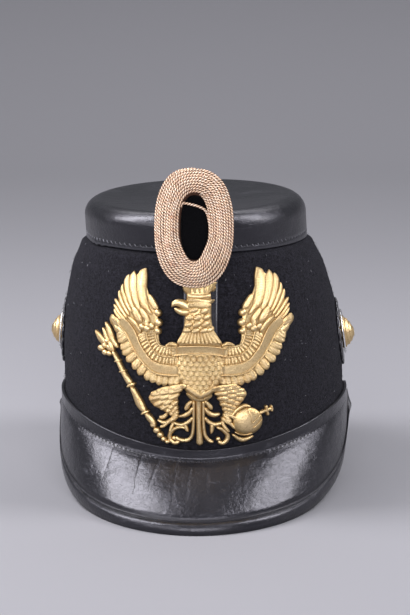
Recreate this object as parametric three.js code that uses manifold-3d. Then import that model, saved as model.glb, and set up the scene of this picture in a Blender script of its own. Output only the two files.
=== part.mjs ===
// A felt shako with a leather crown, two leather peaks, a brass plate, a wound cord badge and side cockades.
// Millimetres, +Z up, the floor at z = 0, the front towards -Y and the wearer's sides along X.
import * as THREE from 'three';
import Module from 'manifold-3d';

// Driving dimensions of the body and the crown
const BODY_WIDTH = 174;
const BODY_LENGTH = 200;
const CROWN_WIDTH = 135.2;
const CROWN_LENGTH = 163;
const CROWN_HEIGHT = 172;
const CROWN_FORWARD = 8;
const CROWN_LEAN = 5.9;
const CROWN_PITCH = 1.5;
const CROWN_ROLL = 1;
const CAP_SKIRT = 24.2;
const CAP_ROUND = 10;
const CAP_SINK = 3;
const CAP_TUCK = 5;
const FELT = 3;
const LEATHER = 2;
const GAP = 0.3;
const SEAT = 0.5;

// Lower edge: heights of the felt and leather seam above the floor
const FRONT_SEAM = 36;
const SIDE_SEAM = 52.7;
const BACK_SEAM = 42;
const COLLAR = 5;
const FELT_TUCK = 6;

// Peaks
const PEAK_REACH = 47;
const PEAK_SIDE = 3;
const PEAK_SPAN = 95;
const REAR_REACH = 19;
const REAR_SIDE = 7;
const REAR_SPAN = 58;
const RIM_WIDTH = 3;
const RIM_BEAD = 1;

// Brass plate
const PLATE_HEIGHT = 101;
const PLATE_FOOT = 38;
const PLATE_X = 2.3;
const PLATE_THICK = 1.4;
const PLATE_RELIEF = 2;
const PLATE_STEP = 0.15;

// Wound cord badge and its sleeve
const BADGE_WIDTH = 45.6;
const BADGE_HEIGHT = 66.6;
const BADGE_OPENING_WIDTH = 15.8;
const BADGE_OPENING_HEIGHT = 36;
const BADGE_X = -0.6;
const BADGE_FOOT = 130.6;
const BADGE_LEAN = 8;
const BADGE_FULLNESS = 2.4;
const BADGE_DEPTH = 5.5;
const BADGE_TURNS = 6;
const CORD_RIDGE = 0.7;
const BACKING = 1.2;
const BACKING_MARGIN = 1;
const VELVET_RISE = 1.2;
const SLEEVE_WIDTH = 19;
const SLEEVE_X = 2.6;
const SLEEVE_TUCK = 0.62;
const SLEEVE_LEATHER = 1;
const SLEEVE_ROOM = 1.5;
const PRONG_WIDTH = 9;
const PRONG_THICK = 0.8;
const PRONG_LENGTH = 34;
const PRONG_WEB = 4;

// Side cockades
const COCKADE_Z = 86;
const COCKADE_WIDTH = 42;
const COCKADE_FLUTES = 15;
const COCKADE_THICK = 1.8;
const RING_WIDTH = 27.5;
const RING_BAND = 2.6;
const RING_THICK = 1;
const ROSETTE_WIDTH = 21;
const ROSETTE_RISE = 6;

// Height shares of the crown height, and how far out the felt stands between crown and foot
const BODY_PROFILE = [
  { up: 0.15, out: 1.0 },
  { up: 0.35, out: 0.98 },
  { up: 0.475, out: 0.943 },
  { up: 0.55, out: 0.866 },
  { up: 0.623, out: 0.789 },
  { up: 0.695, out: 0.644 },
  { up: 0.767, out: 0.464 },
  { up: 0.803, out: 0.304 },
  { up: 0.839, out: 0.17 },
];

// Front peak's rim: turn is a share of the half span, rise a share of the side seam's height
const PEAK_RIM = [
  { turn: 0, rise: 0 },
  { turn: 0.3, rise: 0 },
  { turn: 0.47, rise: 0.02 },
  { turn: 0.63, rise: 0.11 },
  { turn: 0.74, rise: 0.23 },
  { turn: 0.84, rise: 0.46 },
  { turn: 0.95, rise: 0.76 },
  { turn: 1, rise: 0.86 },
];
const REAR_RIM = [
  { turn: 0, rise: 0 },
  { turn: 0.45, rise: 0 },
  { turn: 0.7, rise: 0.12 },
  { turn: 0.88, rise: 0.4 },
  { turn: 1, rise: 0.78 },
];

// Section of a peak below its collar: shares of the reach and of the drop, and of the rim bead
const PEAK_SECTION = [
  { out: 0, down: 0, bead: 0 },
  { out: 0.04, down: 0.05, bead: 0 },
  { out: 0.16, down: 0.13, bead: 0 },
  { out: 0.5, down: 0.42, bead: 0 },
  { out: 0.86, down: 0.8, bead: 0 },
  { out: 0.93, down: 0.88, bead: 1 },
  { out: 0.99, down: 0.95, bead: 0.8 },
  { out: 1, down: 1, bead: 0 },
];

// Left wing in shares of the plate's height, from the chest out to the tip
const WING = [
  { innerX: -0.1, innerY: 0.593, outerX: -0.1, outerY: 0.35 },
  { innerX: -0.16, innerY: 0.593, outerX: -0.2, outerY: 0.353 },
  { innerX: -0.19, innerY: 0.579, outerX: -0.28, outerY: 0.367 },
  { innerX: -0.217, innerY: 0.605, outerX: -0.384, outerY: 0.446 },
  { innerX: -0.217, innerY: 0.655, outerX: -0.447, outerY: 0.542 },
  { innerX: -0.22, innerY: 0.712, outerX: -0.49, outerY: 0.684 },
  { innerX: -0.23, innerY: 0.78, outerX: -0.487, outerY: 0.78 },
  { innerX: -0.258, innerY: 0.814, outerX: -0.46, outerY: 0.848 },
  { innerX: -0.28, innerY: 0.86, outerX: -0.43, outerY: 0.898 },
  { innerX: -0.292, innerY: 0.904, outerX: -0.395, outerY: 0.944 },
  { innerX: -0.296, innerY: 0.961, outerX: -0.352, outerY: 0.983 },
  { innerX: -0.3, innerY: 1, outerX: -0.332, outerY: 0.992 },
];
const WING_FEATHERS = 13;
const WING_SCALLOP = 0.02;

// Chest, neck, head and crown: edges in shares of the plate's height
const TRUNK = [
  { y: 0.28, left: -0.04, right: 0.04 },
  { y: 0.34, left: -0.086, right: 0.092 },
  { y: 0.43, left: -0.12, right: 0.126 },
  { y: 0.58, left: -0.126, right: 0.132 },
  { y: 0.6, left: -0.12, right: 0.12 },
];
const NECK = [
  { y: 0.56, left: -0.12, right: 0.12 },
  { y: 0.62, left: -0.114, right: 0.109 },
  { y: 0.684, left: -0.086, right: 0.069 },
  { y: 0.75, left: -0.08, right: 0.058 },
  { y: 0.814, left: -0.075, right: 0.058 },
  { y: 0.848, left: -0.068, right: 0.075 },
  { y: 0.87, left: -0.068, right: 0.058 },
  { y: 0.881, left: -0.086, right: 0.08 },
  { y: 0.925, left: -0.103, right: 0.103 },
];

// Ribbons of the left side and the middle, in shares of the plate's height; half is the half width
const BEAK = [
  [
    { x: -0.05, y: 0.835, half: 0.022 },
    { x: -0.11, y: 0.845, half: 0.02 },
    { x: -0.143, y: 0.835, half: 0.012 },
    { x: -0.15, y: 0.812, half: 0.006 },
  ],
  [
    { x: -0.05, y: 0.775, half: 0.016 },
    { x: -0.09, y: 0.775, half: 0.014 },
    { x: -0.125, y: 0.79, half: 0.008 },
  ],
];
const LEG = [
  { x: -0.05, y: 0.33, half: 0.045 },
  { x: -0.15, y: 0.295, half: 0.042 },
  { x: -0.225, y: 0.265, half: 0.04 },
  { x: -0.215, y: 0.21, half: 0.032 },
  { x: -0.185, y: 0.165, half: 0.02 },
  { x: -0.18, y: 0.115, half: 0.016 },
];
const TAIL = [
  { x: 0, y: 0.31, half: 0.04 },
  { x: 0.003, y: 0.2, half: 0.026 },
  { x: 0.006, y: 0.1, half: 0.032 },
  { x: 0.01, y: 0.04, half: 0.045 },
  { x: 0.01, y: 0, half: 0.06 },
];
const SCROLLS = [
  [
    { x: -0.19, y: 0.18, half: 0.012 },
    { x: -0.12, y: 0.175, half: 0.013 },
    { x: -0.06, y: 0.185, half: 0.014 },
    { x: -0.01, y: 0.24, half: 0.014 },
  ],
  [
    { x: -0.18, y: 0.135, half: 0.012 },
    { x: -0.12, y: 0.125, half: 0.014 },
    { x: -0.06, y: 0.15, half: 0.013 },
    { x: -0.01, y: 0.2, half: 0.012 },
  ],
  [
    { x: -0.11, y: 0.13, half: 0.012 },
    { x: -0.065, y: 0.095, half: 0.018 },
    { x: -0.06, y: 0.06, half: 0.012 },
    { x: -0.02, y: 0.03, half: 0.012 },
  ],
  [
    { x: -0.01, y: 0.018, half: 0.02 },
    { x: -0.09, y: 0.025, half: 0.018 },
    { x: -0.155, y: 0.03, half: 0.014 },
    { x: -0.17, y: 0.06, half: 0.012 },
    { x: -0.135, y: 0.085, half: 0.012 },
    { x: -0.11, y: 0.06, half: 0.011 },
    { x: -0.115, y: 0.025, half: 0.011 },
  ],
];
const SCEPTRE = [
  { x: -0.5, y: 0.56, half: 0.024 },
  { x: -0.478, y: 0.5, half: 0.014 },
  { x: -0.435, y: 0.41, half: 0.012 },
  { x: -0.385, y: 0.325, half: 0.024 },
  { x: -0.335, y: 0.25, half: 0.018 },
  { x: -0.26, y: 0.15, half: 0.026 },
  { x: -0.2, y: 0.07, half: 0.024 },
  { x: -0.15, y: 0.025, half: 0.02 },
];
const SCEPTRE_HEAD = [
  [
    { x: -0.49, y: 0.52, half: 0.025 },
    { x: -0.55, y: 0.58, half: 0.02 },
    { x: -0.6, y: 0.62, half: 0.004 },
  ],
  [
    { x: -0.49, y: 0.53, half: 0.025 },
    { x: -0.53, y: 0.61, half: 0.022 },
    { x: -0.56, y: 0.67, half: 0.004 },
  ],
  [
    { x: -0.48, y: 0.53, half: 0.022 },
    { x: -0.485, y: 0.61, half: 0.018 },
    { x: -0.5, y: 0.665, half: 0.004 },
  ],
  [
    { x: -0.46, y: 0.5, half: 0.018 },
    { x: -0.52, y: 0.49, half: 0.026 },
    { x: -0.565, y: 0.51, half: 0.01 },
  ],
];
const ORB = { x: 0.265, y: 0.139, radius: 0.088 };
const ORB_PARTS = [
  [
    { x: 0.31, y: 0.17, half: 0.02 },
    { x: 0.35, y: 0.19, half: 0.012 },
    { x: 0.395, y: 0.205, half: 0.016 },
  ],
  [
    { x: 0.362, y: 0.225, half: 0.01 },
    { x: 0.372, y: 0.195, half: 0.012 },
    { x: 0.38, y: 0.165, half: 0.01 },
  ],
  [
    { x: 0.165, y: 0.17, half: 0.02 },
    { x: 0.19, y: 0.1, half: 0.024 },
    { x: 0.24, y: 0.05, half: 0.018 },
  ],
];
const KNOBS = [
  { x: -0.219, y: 0.763 },
  { x: -0.215, y: 0.712 },
  { x: -0.219, y: 0.658 },
];
const KNOB_RADIUS = 0.022;

// Shares from 0 to 1 in equal steps
const steps = (count) => Array.from({ length: count + 1 }, (_, i) => i / count);
const radians = THREE.MathUtils.degToRad;
const mix = (a, b, t) => a + (b - a) * t;

// Value of one column of a table at a place along another column, straight between rows
function read(table, along, column, at) {
  const last = table.length - 1;
  if (at <= table[0][along]) return table[0][column];
  if (at >= table[last][along]) return table[last][column];
  const next = table.findIndex((row) => row[along] > at);
  const from = table[next - 1];
  const to = table[next];
  return mix(from[column], to[column], (at - from[along]) / (to[along] - from[along]));
}

// A closed wall between two surfaces given over u and v: a patch, a ring (loop) or a cup (pole at the last v)
function wall({ inner, outer, us, vs, loop = false, pole = false }) {
  const columns = loop ? us.slice(0, -1) : us;
  const ringRows = pole ? vs.slice(0, -1) : vs;
  const positions = [];
  const place = (surface, u, v) => {
    positions.push(...surface(u, v));
    return positions.length / 3 - 1;
  };
  const faces = [inner, outer].map((surface) => {
    const grid = ringRows.map((v) => columns.map((u) => place(surface, u, v)));
    if (pole) {
      const tip = place(surface, 0, vs[vs.length - 1]);
      grid.push(columns.map(() => tip));
    }
    return grid;
  });
  const index = [];
  const quad = (a, b, c, d) => {
    if (a !== b && b !== c && a !== c) index.push(a, b, c);
    if (a !== c && c !== d && a !== d) index.push(a, c, d);
  };
  const lastRow = vs.length - 1;
  const spans = loop ? columns.length : columns.length - 1;
  const next = (i) => (i + 1) % columns.length;
  const [back, front] = faces;
  for (let i = 0; i < spans; i += 1) {
    for (let j = 0; j < lastRow; j += 1) {
      quad(front[j][i], front[j][next(i)], front[j + 1][next(i)], front[j + 1][i]);
      quad(back[j][next(i)], back[j][i], back[j + 1][i], back[j + 1][next(i)]);
    }
    quad(back[0][i], back[0][next(i)], front[0][next(i)], front[0][i]);
    if (!pole) quad(back[lastRow][next(i)], back[lastRow][i], front[lastRow][i], front[lastRow][next(i)]);
  }
  if (!loop) {
    const end = columns.length - 1;
    for (let j = 0; j < lastRow; j += 1) {
      quad(back[j + 1][0], back[j][0], front[j][0], front[j + 1][0]);
      quad(back[j][end], back[j + 1][end], front[j + 1][end], front[j][end]);
    }
  }
  return facingOut(positions, index);
}

// Six times the volume inside a closed set of triangles, as the sum of their corner products
function sixVolumes(positions, index) {
  const corner = (i) => new THREE.Vector3().fromArray(positions, index[i] * 3);
  let volume = 0;
  for (let i = 0; i < index.length; i += 3) {
    volume += corner(i).dot(corner(i + 1).cross(corner(i + 2)));
  }
  return volume;
}

// Geometry whose faces point outwards
function facingOut(positions, index) {
  const ordered = sixVolumes(positions, index) > 0 ? index : index.slice().reverse();
  const geometry = new THREE.BufferGeometry();
  geometry.setAttribute('position', new THREE.Float32BufferAttribute(positions, 3));
  geometry.setIndex(ordered);
  geometry.computeVertexNormals();
  return geometry;
}

const wasm = await Module();
wasm.setup();

// Union of closed geometries as one geometry, with the sealed pockets between them filled
function fused(geometries) {
  const solids = geometries.map((geometry) => {
    const vertProperties = new Float32Array(geometry.attributes.position.array);
    const triVerts = new Uint32Array(geometry.index.array);
    return new wasm.Manifold(new wasm.Mesh({ numProp: 3, vertProperties, triVerts }));
  });
  const mesh = solids.reduce((sum, solid) => sum.add(solid)).getMesh();
  const shells = separated(mesh.vertProperties, Array.from(mesh.triVerts));
  const filled = shells.filter((index) => sixVolumes(mesh.vertProperties, index) > 0).flat();
  return facingOut(Array.from(mesh.vertProperties), filled);
}

// The corner indices of each connected shell of a mesh
function separated(positions, index) {
  const parent = Array.from({ length: positions.length / 3 }, (_, i) => i);
  const root = (i) => {
    let at = i;
    while (parent[at] !== at) {
      parent[at] = parent[parent[at]];
      at = parent[at];
    }
    return at;
  };
  for (let i = 0; i < index.length; i += 3) {
    parent[root(index[i])] = root(index[i + 1]);
    parent[root(index[i + 1])] = root(index[i + 2]);
  }
  const shells = new Map();
  for (let i = 0; i < index.length; i += 3) {
    const key = root(index[i]);
    if (!shells.has(key)) shells.set(key, []);
    shells.get(key).push(index[i], index[i + 1], index[i + 2]);
  }
  return [...shells.values()];
}

// Horizontal section of the felt at a height: half width, half length and centre
const CAP_EDGE = CROWN_HEIGHT - CAP_SKIRT;
const FELT_TOP = CROWN_HEIGHT - CAP_ROUND - CAP_TUCK;
const SHOULDER = CAP_EDGE - FELT;
const SLEEVE_FOOT = PLATE_FOOT + SLEEVE_TUCK * PLATE_HEIGHT;

function section(z) {
  const up = z / CROWN_HEIGHT;
  const lastUp = BODY_PROFILE[BODY_PROFILE.length - 1].up;
  const lastOut = BODY_PROFILE[BODY_PROFILE.length - 1].out;
  const neckOut = -(LEATHER + GAP) / ((BODY_WIDTH - CROWN_WIDTH) / 2);
  const edgeUp = (CAP_EDGE - GAP) / CROWN_HEIGHT;
  const inCap = THREE.MathUtils.clamp((up - lastUp) / (edgeUp - lastUp), 0, 1);
  const out = up < lastUp ? read(BODY_PROFILE, 'up', 'out', up) : mix(lastOut, neckOut, inCap);
  return {
    halfX: CROWN_WIDTH / 2 + (out * (BODY_WIDTH - CROWN_WIDTH)) / 2,
    halfY: CROWN_LENGTH / 2 + (out * (BODY_LENGTH - CROWN_LENGTH)) / 2,
    midX: -CROWN_LEAN * Math.pow(THREE.MathUtils.clamp((up - 0.2) / 0.8, 0, 1), 1.3),
    midY: -CROWN_FORWARD * THREE.MathUtils.clamp((up - 0.2) / 0.8, 0, 1),
  };
}

// Point of the felt's outside at a turn from the front, moved out by a lift
function around(turn, z, lift = 0) {
  const { halfX, halfY, midX, midY } = section(z);
  return [midX + (halfX + lift) * Math.sin(turn), midY - (halfY + lift) * Math.cos(turn), z];
}

// Depth of the felt's front at x and z
function frontDepth(x, z) {
  const { halfX, halfY, midX, midY } = section(z);
  return midY - halfY * Math.sqrt(Math.max(0, 1 - ((x - midX) / halfX) ** 2));
}

// Point at x and z in front of the felt, lifted along the felt's normal
function onFront(x, z, lift) {
  const probe = 0.5;
  const slopeX = (frontDepth(x + probe, z) - frontDepth(x - probe, z)) / (2 * probe);
  const slopeZ = (frontDepth(x, z + probe) - frontDepth(x, z - probe)) / (2 * probe);
  const size = Math.hypot(slopeX, 1, slopeZ);
  return [x + (slopeX * lift) / size, frontDepth(x, z) - lift / size, z + (slopeZ * lift) / size];
}

// Point at y and z beside the felt, on the side whose sign is given, lifted sideways
function onSide(side, y, z, lift) {
  const { halfX, halfY, midX, midY } = section(z);
  return [midX + side * (halfX * Math.sqrt(1 - ((y - midY) / halfY) ** 2) + lift), y, z];
}

// Height of the felt and leather seam at a turn from the front
function seam(turn) {
  const end = Math.cos(turn) > 0 ? FRONT_SEAM : BACK_SEAM;
  return mix(end, SIDE_SEAM, Math.pow(Math.abs(Math.sin(turn)), 1.8));
}

// Felt body: a bell-shaped tube; v runs from the arched foot to 1 at the crown's edge and on to 2 inside it
function shell() {
  const turnOf = (u) => u * 2 * Math.PI;
  const edge = CAP_EDGE - GAP;
  const foot = FRONT_SEAM - FELT_TUCK;
  const shares = BODY_PROFILE.map((row) => (row.up * CROWN_HEIGHT - foot) / (edge - foot));
  const heightOf = (u, v) => mix(mix(seam(turnOf(u)) - FELT_TUCK, edge, Math.min(v, 1)), FELT_TOP, Math.max(0, v - 1));
  return wall({
    inner: (u, v) => around(turnOf(u), heightOf(u, v), -FELT),
    outer: (u, v) => around(turnOf(u), heightOf(u, v)),
    us: steps(34),
    vs: [0, ...shares.filter((share) => share > 0.05), 1, 2],
    loop: true,
  });
}

// Leather crown: a cup turned down over the felt, with a soft rim and a slightly sunken top
function crownCap() {
  const skirtShare = 0.45;
  const roundShare = 0.75;
  const rise = (x, y, z) => {
    const share = (z - CAP_EDGE) / CAP_SKIRT;
    return z + share * (Math.tan(radians(CROWN_PITCH)) * (y + CROWN_FORWARD) + Math.tan(radians(CROWN_ROLL)) * x);
  };
  // Outline by v: skirt, quarter round, then in to the middle of the top
  const surface = (inset) => (u, v) => {
    const turn = u * 2 * Math.PI;
    const round = CAP_ROUND - inset;
    const bend = THREE.MathUtils.clamp((v - skirtShare) / (roundShare - skirtShare), 0, 1) * (Math.PI / 2);
    const inward = Math.max(0, (v - roundShare) / (1 - roundShare));
    const corner = inset + round * (1 - Math.cos(bend));
    const skirt = mix(CAP_EDGE, CROWN_HEIGHT - CAP_ROUND, Math.min(1, v / skirtShare));
    const height = skirt + round * Math.sin(bend) - CAP_SINK * Math.sin((inward * Math.PI) / 2);
    const { midX, midY } = section(height);
    const x = midX + (CROWN_WIDTH / 2 - corner) * (1 - inward) * Math.sin(turn);
    const y = midY - (CROWN_LENGTH / 2 - corner) * (1 - inward) * Math.cos(turn);
    return [x, y, rise(x, y, height)];
  };
  return wall({
    inner: surface(LEATHER),
    outer: surface(0),
    us: steps(36),
    vs: [0, skirtShare, 0.55, 0.65, roundShare, 1],
    loop: true,
    pole: true,
  });
}

// Leather peak: a collar on the felt, then a sloping blade out to a beaded rim
function peak({ facing, reach, side, span, rim, columns }) {
  const rimPoint = (turn, height) => {
    const halfX = BODY_WIDTH / 2 + side;
    const halfY = BODY_LENGTH / 2 + reach;
    return [halfX * Math.sin(turn), -halfY * Math.cos(turn), height];
  };
  const rows = [{ out: 0, down: -1, bead: 0 }, ...PEAK_SECTION];
  const last = rows.length - 1;
  // Place of a row: its base on the collar's outside, the way out to the rim, and how far out and how high it is
  const profile = (turn, row) => {
    const top = seam(turn);
    const rimHeight = read(rim, 'turn', 'rise', Math.abs(turn - facing) / radians(span)) * SIDE_SEAM;
    const height = row.down < 0 ? top : mix(top - COLLAR, rimHeight, row.down);
    const base = around(turn, Math.max(height, top - COLLAR), SEAT + LEATHER);
    const tip = rimPoint(turn, rimHeight);
    const width = Math.hypot(tip[0] - base[0], tip[1] - base[1]);
    const way = [(tip[0] - base[0]) / width, (tip[1] - base[1]) / width];
    return { base, way, out: row.out * width, height };
  };
  const point = (turn, j, lift, inset) => {
    const here = profile(turn, rows[j]);
    if (j < 2) return around(turn, here.height, SEAT + LEATHER - lift);
    const before = profile(turn, rows[j - 1]);
    const after = profile(turn, rows[Math.min(last, j + 1)]);
    const run = after.out - before.out;
    const fall = before.height - after.height;
    const size = Math.hypot(run, fall);
    const back = j === last ? inset : (lift * fall) / size;
    const drop = j === last ? 0 : (lift * run) / size;
    const out = here.out - back;
    return [here.base[0] + here.way[0] * out, here.base[1] + here.way[1] * out, here.height - drop];
  };
  const turnOf = (u) => facing + mix(-1, 1, u) * radians(span);
  const rowOf = (v) => Math.round(v * last);
  return wall({
    inner: (u, v) => point(turnOf(u), rowOf(v), LEATHER, RIM_WIDTH),
    outer: (u, v) => point(turnOf(u), rowOf(v), -RIM_BEAD * rows[rowOf(v)].bead, 0),
    us: steps(columns),
    vs: steps(last),
  });
}

// Pocket of thin leather on the felt, open at its top for the badge's prong
function badgeSleeve() {
  const room = 3 * GAP + PRONG_THICK;
  const surface = (near, far) => (u, v) => {
    const x = SLEEVE_X + mix(-0.5, 0.5, u) * SLEEVE_WIDTH;
    const z = mix(SLEEVE_FOOT, SHOULDER - PRONG_WEB - FELT, v);
    const middle = Math.abs(u - 0.5) * SLEEVE_WIDTH < PRONG_WIDTH / 2 + SLEEVE_ROOM;
    return onFront(x, z, middle && v > 0.05 ? far : near);
  };
  return wall({
    inner: surface(SEAT, GAP + room),
    outer: surface(SEAT + SLEEVE_LEATHER, GAP + room + SLEEVE_LEATHER),
    us: [0, 0.15, 0.24, 0.5, 0.76, 0.85, 1],
    vs: [0, 0.04, 0.1, 0.28, 0.46, 0.64, 0.82, 1],
  });
}

// Depth of the badge's back: clear of the plate's crown, which stands in front of the sleeve
const NECK_LIFT = 5 * GAP + PRONG_THICK + SLEEVE_LEATHER;
const CROWN_RELIEF = NECK_LIFT + PLATE_THICK + PLATE_RELIEF;
const BADGE_BACK = frontDepth(BADGE_X, BADGE_FOOT) - CROWN_RELIEF - GAP;
const LEAN_SIN = Math.sin(radians(BADGE_LEAN));
const LEAN_COS = Math.cos(radians(BADGE_LEAN));

// Sine or cosine of an oval that is fuller at its corners than an ellipse
function fuller(value) {
  return Math.sign(value) * Math.pow(Math.abs(value), 2 / BADGE_FULLNESS);
}

// Point of an oval about the badge's middle at a turn, with half sizes and a depth in front of its leaning back
function badgePoint(turn, halfX, halfZ, depth) {
  const rise = BADGE_HEIGHT / 2 + halfZ * fuller(Math.cos(turn));
  const y = BADGE_BACK + rise * LEAN_SIN - depth * LEAN_COS;
  return [BADGE_X + halfX * fuller(Math.sin(turn)), y, BADGE_FOOT + rise * LEAN_COS + depth * LEAN_SIN];
}

// Ring of wound cord: a low crown of ridges between the opening and the outline
function badgeCord() {
  const rows = 2 * BADGE_TURNS;
  const surface = (crowned) => (u, v) => {
    const turn = u * 2 * Math.PI;
    const halfX = mix(BADGE_OPENING_WIDTH, BADGE_WIDTH, v) / 2;
    const halfZ = mix(BADGE_OPENING_HEIGHT, BADGE_HEIGHT, v) / 2;
    const crown = BADGE_DEPTH * Math.sqrt(Math.max(0.08, 1 - (2 * v - 0.9) ** 2));
    const ridge = Math.round(v * rows) % 2 === 1 ? 0 : -CORD_RIDGE;
    const lowered = v === 0 || v === 1 ? 0 : ridge;
    return badgePoint(turn, halfX, halfZ, BACKING + GAP + (crowned ? crown + lowered : 0));
  };
  return wall({ inner: surface(false), outer: surface(true), us: steps(24), vs: steps(rows), loop: true });
}

// Dark core in the ring's opening, slightly crowned
function badgeVelvet() {
  const surface = (crowned) => (u, v) => {
    const share = 1 - v;
    const halfX = (BADGE_OPENING_WIDTH / 2 - GAP) * share;
    const halfZ = (BADGE_OPENING_HEIGHT / 2 - GAP) * share;
    const depth = BACKING + GAP + (crowned ? VELVET_RISE * (1 + Math.sqrt(1 - share * share)) : 0);
    return badgePoint(u * 2 * Math.PI, halfX, halfZ, depth);
  };
  return wall({ inner: surface(false), outer: surface(true), us: steps(20), vs: [0, 0.3, 1], loop: true, pole: true });
}

// Oval back plate, with a plain prong that runs down behind the plate into the sleeve
function badgeBacking() {
  const oval = (depth) => (u, v) => {
    const share = 1 - v;
    const halfX = (BADGE_WIDTH / 2 - BACKING_MARGIN) * share;
    const halfZ = (BADGE_HEIGHT / 2 - BACKING_MARGIN) * share;
    return badgePoint(u * 2 * Math.PI, halfX, halfZ, depth);
  };
  const plate = wall({ inner: oval(0), outer: oval(BACKING), us: steps(22), vs: [0, 1], loop: true, pole: true });
  const webTop = SHOULDER;
  const webFoot = SHOULDER - PRONG_WEB;
  const across = (u) => SLEEVE_X + mix(-0.5, 0.5, u) * PRONG_WIDTH;
  const plateMiddle = (z) => BADGE_BACK + ((z - BADGE_FOOT) * LEAN_SIN) / LEAN_COS - BACKING / 2;
  const prong = wall({
    inner: (u, v) => onFront(across(u), mix(webTop - PRONG_LENGTH, webTop, v), 2 * GAP),
    outer: (u, v) => onFront(across(u), mix(webTop - PRONG_LENGTH, webTop, v), 2 * GAP + PRONG_THICK),
    us: steps(3),
    vs: steps(5),
  });
  const web = wall({
    inner: (u, v) => onFront(across(u), mix(webFoot, webTop, v), 2 * GAP),
    outer: (u, v) => [across(u), plateMiddle(mix(webFoot, webTop, v)), mix(webFoot, webTop, v)],
    us: steps(3),
    vs: steps(2),
  });
  return fused([plate, prong, web]);
}

// Point of the brass plate: shares of its height from the foot of its middle, and a lift off the felt
function onPlate(x, y, lift) {
  return onFront(PLATE_X + x * PLATE_HEIGHT, PLATE_FOOT + y * PLATE_HEIGHT, lift);
}

// One wing, with scalloped feather ends, sunk feather lines and a raised bare ribbon across it
function wing(mirror) {
  const last = WING.length - 1;
  const place = (u, v, lift) => {
    const at = u * last;
    const row = Math.min(last - 1, Math.floor(at));
    const cell = (column) => mix(WING[row][column], WING[row + 1][column], at - row);
    const inner = [cell('innerX'), cell('innerY')];
    const outer = [cell('outerX'), cell('outerY')];
    const length = Math.hypot(outer[0] - inner[0], outer[1] - inner[1]);
    const scallop = Math.abs(Math.sin(u * WING_FEATHERS * Math.PI)) * WING_SCALLOP;
    const share = v * (1 + (v === 1 ? (scallop - WING_SCALLOP / 2) / length : 0));
    return onPlate(mirror * mix(inner[0], outer[0], share), mix(inner[1], outer[1], share), lift);
  };
  const height = (u, v) => {
    const feather = Math.abs(Math.sin(u * WING_FEATHERS * Math.PI));
    const ribbon = u < 0.62 && v > 0.3 && v < 0.8 ? 0.75 : 0;
    const plume = v === 0 || v === 1 ? 0.15 * feather : 0.35 + 0.45 * feather;
    return PLATE_THICK + PLATE_RELIEF * Math.max(ribbon, plume);
  };
  return wall({
    inner: (u, v) => place(u, v, GAP),
    outer: (u, v) => place(u, v, GAP + height(u, v)),
    us: steps(WING_FEATHERS * 2),
    vs: [0, 0.4, 0.72, 1],
  });
}

// A crowned band between the left and right edges of a table, between two lifts
function trunk(table, back, relief) {
  const low = table[0].y;
  const high = table[table.length - 1].y;
  const vs = table.map((row) => (row.y - low) / (high - low));
  const across = (u, v) => {
    const y = mix(low, high, v);
    return [mix(read(table, 'y', 'left', y), read(table, 'y', 'right', y), u), y];
  };
  const crown = (u) => relief * Math.sqrt(Math.max(0, 1 - (2 * u - 1) ** 2));
  return wall({
    inner: (u, v) => onPlate(...across(u, v), back),
    outer: (u, v) => onPlate(...across(u, v), back + PLATE_THICK + crown(u)),
    us: steps(6),
    vs,
  });
}

// A ribbon along a smooth line through a table's points, with a raised spine
function ribbon(table, mirror, back) {
  const line = new THREE.CatmullRomCurve3(table.map((row) => new THREE.Vector3(row.x, row.y, row.half)));
  const surface = (lift, spine) => (u, v) => {
    const at = line.getPoint(v);
    const along = line.getTangent(v);
    const size = Math.hypot(along.x, along.y);
    const side = mix(-1, 1, u) * Math.max(at.z, 0.003);
    const rise = u === 0.5 ? spine : 0;
    return onPlate(mirror * (at.x - (along.y / size) * side), at.y + (along.x / size) * side, lift + rise);
  };
  return wall({
    inner: surface(back, 0),
    outer: surface(back + PLATE_THICK, PLATE_RELIEF * 0.6),
    us: [0, 0.5, 1],
    vs: steps(Math.ceil((table.length - 1) * 1.3)),
  });
}

// A low dome on the plate
function dome(x, y, radius, rise, sides, rings) {
  const surface = (crowned) => (u, v) => {
    const turn = u * 2 * Math.PI;
    const share = 1 - v;
    const lift = crowned ? PLATE_THICK + rise * Math.sqrt(1 - share * share) : 0;
    return onPlate(x + radius * share * Math.sin(turn), y + radius * share * Math.cos(turn), GAP + lift);
  };
  const vs = Array.from({ length: rings + 1 }, (_, i) => 1 - Math.cos(((i / rings) * Math.PI) / 2));
  return wall({ inner: surface(false), outer: surface(true), us: steps(sides), vs, loop: true, pole: true });
}

// Brass plate: the crowned bird with spread wings, sceptre and orb, one soldered piece
function eaglePlate() {
  const legBack = GAP + PLATE_STEP;
  const scrollBack = GAP + 2 * PLATE_STEP;
  const rodBack = GAP + 3 * PLATE_STEP;
  const pieces = [
    wing(1),
    wing(-1),
    trunk(TRUNK, GAP, PLATE_RELIEF + NECK_LIFT),
    trunk(NECK, NECK_LIFT, PLATE_RELIEF),
    ...BEAK.map((line) => ribbon(line, 1, NECK_LIFT + PLATE_STEP)),
    ribbon(LEG, 1, legBack),
    ribbon(LEG, -1, legBack),
    ribbon(TAIL, 1, legBack),
    ...SCROLLS.map((line) => ribbon(line, 1, scrollBack)),
    ...SCROLLS.map((line) => ribbon(line, -1, scrollBack)),
    ribbon(SCEPTRE, 1, rodBack),
    ...SCEPTRE_HEAD.map((line) => ribbon(line, 1, scrollBack)),
    ...ORB_PARTS.map((line) => ribbon(line, 1, scrollBack)),
    dome(ORB.x, ORB.y, ORB.radius, 2 * PLATE_RELIEF, 14, 2),
  ];
  for (const knob of KNOBS) {
    pieces.push(dome(knob.x, knob.y, KNOB_RADIUS, PLATE_RELIEF, 6, 1));
    pieces.push(dome(-knob.x, knob.y, KNOB_RADIUS, PLATE_RELIEF, 6, 1));
  }
  return fused(pieces);
}

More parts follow.
